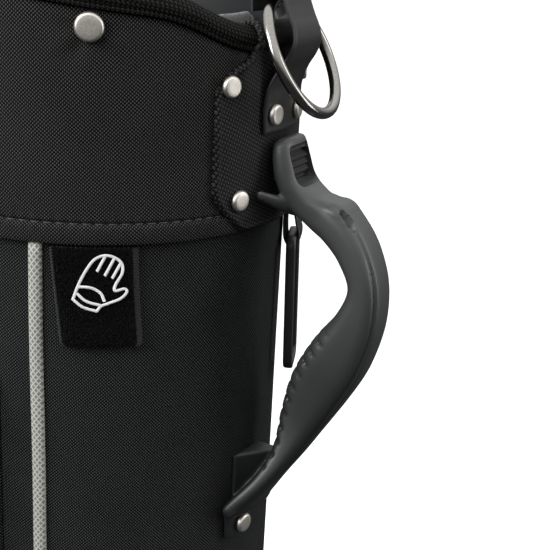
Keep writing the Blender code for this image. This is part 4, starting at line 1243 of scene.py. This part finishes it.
def make_pocket(label, azimuth, zip_side):
    """Bellows pocket with a crowned front, seam cords, a stitched slot and its zip."""
    depth_share, side_share = pocket_outline(zip_side)
    rise = np.concatenate([[0.0, 0.0, 0.0], np.linspace(0.0, 60.0, 25),
                           np.linspace(66.0, 455.0, 60), np.linspace(461.0, 521.0, 25),
                           [521.0, 521.0, 521.0]])
    shut = np.concatenate([[0.0, 0.5, 0.9], np.ones(len(rise) - 6), [0.9, 0.5, 0.0]])
    levels = np.array(POCKET_LEVELS)
    dense = smooth_path(levels, 300)
    share = np.clip(np.interp(rise, dense[:, 0], dense[:, 1]), 0.5, 1.0) * shut
    rise = rise + np.where(shut < 1.0, np.where(rise > 260.0, 1.0, -1.0) * 1.2 * (1.0 - shut), 0.0)
    z = POCKET_LOW + rise[:, None]
    side = POCKET_HALF * side_share[None, :] + 0.0 * z
    back = np.sqrt(POCKET_BACK ** 2 - side ** 2)
    full = POCKET_FACE - back
    depth = full * depth_share[None, :] * share[:, None]
    near_zip = np.abs(side - zip_side)
    flat = smoothstep(0.75, 1.0, depth_share)[None, :]
    crown = 2.4 * flat * smoothstep(9.0, 30.0, near_zip) * (1.0 - (side / POCKET_HALF) ** 2)
    ends = smoothstep(0.0, 40.0, z - POCKET_LOW) * smoothstep(0.0, 40.0, POCKET_HIGH - z)
    soft = 0.7 * waves(side, z, 41 if label == "front" else 43, 95.0) * (0.3 + 0.7 * flat)
    soft = soft * smoothstep(6.0, 22.0, near_zip) * depth_share[None, :] * share[:, None]
    in_slot = smoothstep(3.95, 3.5, near_zip) * (z > ZIP_LOW) * (z < ZIP_HIGH) * flat
    out = back + depth + crown * ends + soft - 2.1 * in_slot
    inner_side = side * (POCKET_HALF - POCKET_WALL) / POCKET_HALF
    inner_z = np.clip(z, POCKET_LOW + POCKET_WALL, POCKET_HIGH - POCKET_WALL)
    inner_out = back + np.clip(depth - POCKET_WALL, 0.05, None)
    around = np.append(0.0, np.cumsum(np.hypot(np.diff(side[60]), np.diff(out[60]))))
    outer = pocket_point(azimuth, out, side, z)
    inner = pocket_point(azimuth, inner_out, inner_side, inner_z)
    item = slab(label + "_pocket_cloth", outer, inner, uv_of(around, z), LOOKS["nylon_body"])
    place_piece(item, "bag", "black_woven_nylon", label + "_pocket")

    first, last = CORD_INSET, len(depth_share) - 1 - CORD_INSET
    top, bottom = len(rise) - 6, 5
    cord = np.concatenate([outer[bottom:top, first], outer[top, first:last],
                           outer[top:bottom:-1, last], outer[bottom, last:first:-1]])
    cords = Cloud()
    cords.tube(cord, 1.5, 10, closed=True)
    item = cords.make(label + "_pocket_cord", LOOKS["binding"])
    place_piece(item, "bag", "coarse_binding")
    make_zip(label, azimuth, zip_side)


def make_zip(label, azimuth, side):
    """Tape, coil teeth, stitch lines, slider and puller of one pocket."""
    z = np.linspace(ZIP_LOW + 0.4, ZIP_HIGH - 0.4, 60)[:, None]
    across = np.linspace(-3.15, 3.15, 9)[None, :]
    item = slab(label + "_zip_tape", pocket_point(azimuth, POCKET_FACE - 1.25, side + across, z),
                pocket_point(azimuth, POCKET_FACE - 2.0, side + across, z), uv_of(across, z),
                LOOKS["webbing"])
    place_piece(item, "bag", "black_plastic", label + "_zip_track")
    teeth = Cloud()
    count = int((ZIP_HIGH - ZIP_LOW - 4.0) / TOOTH_PITCH)
    for k in range(count):
        for sign, shift in ((-1.0, 0.0), (1.0, 0.95)):
            level = ZIP_LOW + 2.0 + TOOTH_PITCH * k + shift
            run = np.array((0.15, 0.9, 1.75)) * sign
            lift = np.array((0.55, 0.75, 0.1))
            teeth.tube(pocket_point(azimuth, POCKET_FACE - 1.2 + lift, side + run, level), 0.5, 5)
    item = teeth.make(label + "_zip_teeth", LOOKS["plastic"])
    place_piece(item, "bag", "black_plastic")
    seams = Cloud()
    for offset in (-6.4, 6.4):
        for k in range(int((ZIP_HIGH - ZIP_LOW) / SEAM_PITCH)):
            level = ZIP_LOW + SEAM_PITCH * k + np.array((0.6, 2.0, 3.4))
            lift = np.array((-0.15, 0.25, -0.15))
            seams.tube(pocket_point(azimuth, POCKET_FACE + 0.15 + lift, side + offset, level),
                       0.32, 5)
    item = seams.make(label + "_zip_seams", LOOKS["black_thread"])
    place_piece(item, "bag", "black_woven_nylon")

    outline = np.array([(-2.6, -7.0), (2.6, -7.0), (3.1, -3.0), (4.4, 2.0), (4.5, 5.2),
                        (3.0, 7.0), (0.9, 6.0), (-0.9, 6.0), (-3.0, 7.0), (-4.5, 5.2),
                        (-4.4, 2.0), (-3.1, -3.0)])
    rows = []
    for height, size in ((0.3, 0.94), (0.6, 1.0), (2.9, 1.0), (3.4, 0.95), (3.7, 0.84)):
        rows.append(pocket_point(azimuth, POCKET_FACE + height, side + outline[:, 0] * size,
                                 SLIDER_Z + outline[:, 1] * size))
    body = grid(label + "_slider_body", np.array(rows), None, LOOKS["nickel"],
                wrap_columns=True, caps=True, angle=35.0)
    place_piece(body, label + "_slider", "nickel", label + "_zip_slider")
    turn = np.radians(np.linspace(0.0, 180.0, 15))
    lug = Cloud()
    lug.tube(pocket_point(azimuth, POCKET_FACE + 3.2 + 3.6 * np.sin(turn), side,
                          SLIDER_Z + 3.0 + 3.4 * np.cos(turn)), 0.75, 10)
    item = lug.make(label + "_slider_lug", LOOKS["nickel"])
    place_piece(item, label + "_slider", "nickel")

    plate = smooth_path([(-3.0, 0.6), (0.0, 0.9), (3.0, 0.6), (3.3, -6.0), (4.0, -16.0),
                         (4.0, -24.0), (2.2, -27.0), (0.0, -27.6), (-2.2, -27.0), (-4.0, -24.0),
                         (-4.0, -16.0), (-3.3, -6.0), (-3.0, 0.6)], 73)[:-1]
    angles = np.arctan2(plate[:, 1] + 3.2, plate[:, 0])
    hole = np.stack([1.35 * np.cos(angles), -2.7 + 2.3 * np.sin(angles)], 1)
    rows = []
    for outline, size, height in ((plate, 1.0, 0.35), (plate, 0.93, 0.8), (hole, 1.0, 0.8),
                                  (hole, 1.0, -0.8), (plate, 0.93, -0.8), (plate, 1.0, -0.35)):
        centre = outline.mean(0)
        points = centre + (outline - centre) * size
        rows.append(pocket_point(azimuth, POCKET_FACE + 5.3 + height, side + points[:, 0],
                                 SLIDER_Z + 3.0 + points[:, 1]))
    item = grid(label + "_puller_plate", np.array(rows), None, LOOKS["nickel"],
                wrap_rows=True, wrap_columns=True, angle=35.0)
    place_piece(item, label + "_puller", "nickel", label + "_zip_puller")


# ---------------------------------------------------------------- boot and inside of the tube

def turned(name, radius, z, azimuths, material):
    """Closed solid of revolution from its outline; radius may change with azimuth."""
    points = polar(azimuths[None, :], radius, np.asarray(z)[:, None])
    around = np.radians(np.append(azimuths, 360.0)) * SHELL_OUT
    step = np.abs(np.diff(np.asarray(z, dtype=float))) + 0.3
    run = np.append(0.0, np.cumsum(step))
    uv = np.stack(np.meshgrid(around, run), -1)
    return grid(name, points, uv, material, wrap_columns=True, caps=True, angle=35.0)


def make_boot():
    """Moulded boot: base flange, upright ribs, a band for the rivets and a rolled lip."""
    azimuths = full_turn(720, 360.0)
    ribbed = [(106.4, height) for height in (13.6, *np.linspace(15.4, 31.4, 9), 33.0)]
    profile = np.array([(103.2, 4.3), (104.0, 4.35), (105.6, 5.4), (107.3, 7.6), (107.6, 9.0),
                        (107.6, 12.2), (107.0, 12.9), (106.4, 13.6), *ribbed, (106.9, 33.8),
                        (107.5, 34.6), (107.5, 50.4), (106.9, 51.0), (106.9, 51.8), (107.5, 52.4),
                        (107.6, 55.0), (107.0, 56.8), (105.6, 57.8), (103.4, 58.0), (102.4, 57.4),
                        (102.4, 9.3), (60.0, 9.3)])
    cut = smoothstep(13.7, 15.4, profile[:, 1]) * smoothstep(33.0, 31.4, profile[:, 1])
    ribs = smoothstep(-0.1, 0.35, np.cos(np.radians(azimuths) * 60.0))
    cut = cut * (profile[:, 0] > 106.0)
    radius = profile[:, 0][:, None] + (1.0 * ribs[None, :] - 0.5) * cut[:, None]
    item = turned("boot_moulding", radius, profile[:, 1], azimuths, LOOKS["boot"])
    place_piece(item, "bag", "black_plastic", "base_boot")

    profile = np.array([(60.0, 0.6), (96.0, 0.6), (97.0, 0.0), (100.6, 0.0), (101.4, 0.6),
                        (101.4, 3.4), (101.0, 4.0), (60.0, 4.0)])
    blocks = smoothstep(-0.6, -0.3, np.cos(np.radians(azimuths) * 36.0))
    rim = (profile[:, 0] > 99.0)[:, None]
    radius = profile[:, 0][:, None] - 1.2 * (1.0 - blocks)[None, :] * rim
    item = turned("tread_disc", radius, profile[:, 1], azimuths, LOOKS["boot"])
    place_piece(item, "bag", "grey_rubber", "base_tread")


def make_inside():
    """Frame, liner, padded divider and floor pad, seen through the mouth."""
    azimuths = full_turn(240, 360.0)
    edge = mouth_z(azimuths)[:, None]
    r = np.array([(98.4, 99.1, 99.1, 98.4, 94.2, 93.3, 93.3, 94.2)]) + 0.0 * edge
    z = edge + np.array([(-26.0, -25.2, -1.2, -0.4, -0.4, -1.4, -25.0, -26.0)])
    item = hoop("top_frame_ring", azimuths, r, z, LOOKS["plastic"], angle=30.0)
    place_piece(item, "bag", "black_plastic", "top_frame")

    share = np.linspace(0.0, 1.0, 70)[None, :]
    up = FLOOR_Z + (edge - FRAME_DEPTH - FLOOR_Z) * share
    sway = 0.3 * waves(azimuths[:, None] * 1.6, up, 51, 120.0)
    r = np.concatenate([93.7 + sway, (92.95 + sway)[:, ::-1]], 1)
    item = hoop("liner_cloth", azimuths, r, np.concatenate([up, up[:, ::-1]], 1), LOOKS["lining"])
    place_piece(item, "bag", "grey_lining", "inner_liner")

    low = float(mouth_z(-30.0)) - DIVIDER_DROP
    high = float(mouth_z(30.0)) - DIVIDER_DROP
    for label, x, level in (("handle_side", DIVIDER_X, high), ("spine_side", -DIVIDER_X, low)):
        make_bar(label, (x, -DIVIDER_HALF, level), (x, DIVIDER_HALF, level))
    make_bar("link", (-46.4, 0.0, low - 1.0), (46.4, 0.0, high - 1.0))

    azimuths = full_turn(96, 360.0)
    profile = np.array([(30.0, FLOOR_Z), (90.6, FLOOR_Z), (91.8, 10.6), (92.0, 12.4), (91.4, 13.9),
                        (89.6, 14.5), (60.0, 14.7), (30.0, 14.8)])
    radius = profile[:, 0][:, None] + 0.0 * azimuths[None, :]
    item = turned("floor_cushion", radius, profile[:, 1], azimuths, LOOKS["foam"])
    place_piece(item, "bag", "foam", "floor_pad")
    for number in range(1, 5):
        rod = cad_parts["stay_rod_%d" % number]
        rod.data.materials.clear()
        rod.data.materials.append(LOOKS["fibre"])


def make_bar(label, start, end):
    """Padded divider bar: plump oval section, puckered ends and a seam ridge underneath."""
    start, end = np.array(start), np.array(end)
    along = (end - start) / np.linalg.norm(end - start)
    side = np.cross(along, UP)
    share = np.concatenate([[0.0, 0.004, 0.012, 0.025], np.linspace(0.04, 0.96, 90),
                            [0.975, 0.988, 0.996, 1.0]])
    turn = full_turn(32)[None, :]
    away = np.minimum(share, 1.0 - share)[:, None] * np.linalg.norm(end - start)
    plump = 0.80 + 0.20 * smoothstep(0.0, 4.0, away)
    place = share[:, None] * 140.0
    soft = 1.0 + 0.035 * waves(place, turn * 7.0, 61 + len(label), 34.0)
    seam = 0.5 * np.exp(-((turn - 1.5 * math.pi) / 0.12) ** 2)
    across = 4.8 * plump * soft * np.cos(turn)
    tall = (7.6 * plump * soft + seam) * np.sin(turn) - 8.0
    base = start + share[:, None] * (end - start)
    points = base[:, None, :] + across[..., None] * side + tall[..., None] * UP
    around = np.append(turn[0], 2.0 * math.pi) * 6.4
    uv = np.stack(np.meshgrid(around, place[:, 0]), -1)
    item = grid("divider_padding_" + label, points, uv, LOOKS["divider"], wrap_columns=True,
                caps=True, angle=60.0)
    place_piece(item, "bag", "divider_fabric", "divider_bar_" + label)


# ---------------------------------------------------------------- stage, light and camera

def make_stage():
    """White sweep that rises far away, and a sky that is darker low down."""
    rows = [(0.0, 0.0), (1.0, 0.0), (4.0, 0.0), (8.0, 0.4), (12.0, 2.0), (15.0, 5.0), (17.0, 10.0)]
    turn = np.radians(full_turn(48, 360.0))
    points = [(0.0, 0.0, 0.0)]
    faces = []
    for k, (radius, height) in enumerate(rows[1:]):
        points += [(radius * math.cos(t), radius * math.sin(t), height) for t in turn]
        for i in range(48):
            j = (i + 1) % 48
            base = 1 + 48 * k
            if k == 0:
                faces.append((0, 1 + i, 1 + j))
            else:
                faces.append((base - 48 + i, base + i, base + j, base - 48 + j))
    mesh = bpy.data.meshes.new("sweep")
    mesh.from_pydata(points, [], faces)
    look = Graph("sweep", color=(0.97, 0.97, 0.97), roughness=0.95)
    floor = new_object("sweep", mesh, look.material, angle=0.0)
    floor.visible_diffuse = False
    floor.visible_glossy = False
    floor.visible_shadow = False
    world = bpy.data.worlds.new("studio")
    world.use_nodes = True
    tree = world.node_tree
    place = tree.nodes.new("ShaderNodeTexCoord")
    split = tree.nodes.new("ShaderNodeSeparateXYZ")
    level = tree.nodes.new("ShaderNodeMapRange")
    level.interpolation_type = "SMOOTHSTEP"
    level.inputs["From Min"].default_value = -0.15
    level.inputs["From Max"].default_value = 0.8
    level.inputs["To Min"].default_value = 0.06
    level.inputs["To Max"].default_value = 1.45
    tree.links.new(place.outputs["Generated"], split.inputs[0])
    tree.links.new(split.outputs[2], level.inputs["Value"])
    tree.links.new(level.outputs[0], tree.nodes["Background"].inputs["Strength"])
    tree.nodes["Background"].inputs["Color"].default_value = (1.0, 1.0, 1.0, 1.0)
    bpy.context.scene.world = world
    bpy.context.scene.view_settings.view_transform = "Standard"


def area_light(name, place, target, size, power):
    light = bpy.data.lights.new(name, "AREA")
    light.shape = "RECTANGLE"
    light.size, light.size_y = size
    light.energy = power
    item = bpy.data.objects.new(name, light)
    item.location = place
    aim = Vector(target) - Vector(place)
    item.rotation_euler = aim.to_track_quat("-Z", "Y").to_euler()
    bpy.context.scene.collection.objects.link(item)


def make_camera():
    azimuth = math.radians(33.0)
    distance = 599.7
    swing = math.radians(33.677)
    yaw, pitch, roll = 0.178, 0.316, 0.056
    place = Vector((distance * math.sin(azimuth), -distance * math.cos(azimuth),
                    SEAM_Z + 149.65)) * MM
    forward = Vector((math.sin(yaw) * math.cos(pitch), math.cos(yaw) * math.cos(pitch),
                      -math.sin(pitch)))
    right = Vector((math.cos(yaw), -math.sin(yaw), 0.0))
    turn = Matrix.Rotation(swing, 3, "Z")
    forward = turn @ forward
    right = turn @ right
    up = right.cross(forward)
    side = right * math.cos(roll) + up * math.sin(roll)
    top = up * math.cos(roll) - right * math.sin(roll)
    camera = bpy.data.cameras.new("camera")
    camera.sensor_width = 36.0
    camera.lens = 72.006
    camera.clip_start = 0.01
    item = bpy.data.objects.new("camera", camera)
    basis = Matrix((side, top, -forward)).transposed().to_4x4()
    item.matrix_world = Matrix.Translation(place) @ basis
    bpy.context.scene.collection.objects.link(item)
    bpy.context.scene.camera = item


def main():
    make_stage()
    make_camera()
    area_light("key", (-0.9, -1.6, 1.7), (0.0, 0.0, 0.75), (1.2, 1.2), 44.0)
    area_light("rim", (1.5, 0.7, 1.0), (0.0, 0.0, 0.6), (0.5, 1.4), 9.0)
    make_body_shell()
    make_upper_panel()
    make_collar()
    make_patch()
    make_ring_strap()
    make_utility_tab()
    make_utility_loop()
    make_ring()
    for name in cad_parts:
        if "rivet" in name:
            make_rivet(name)
    make_handle()
    make_handle_webbing()
    make_glove_tab()
    make_piping()
    make_pocket("front", -31.0, ZIP_OFFSET)
    make_pocket("rear", -149.0, -ZIP_OFFSET)
    make_boot()
    make_inside()


main()
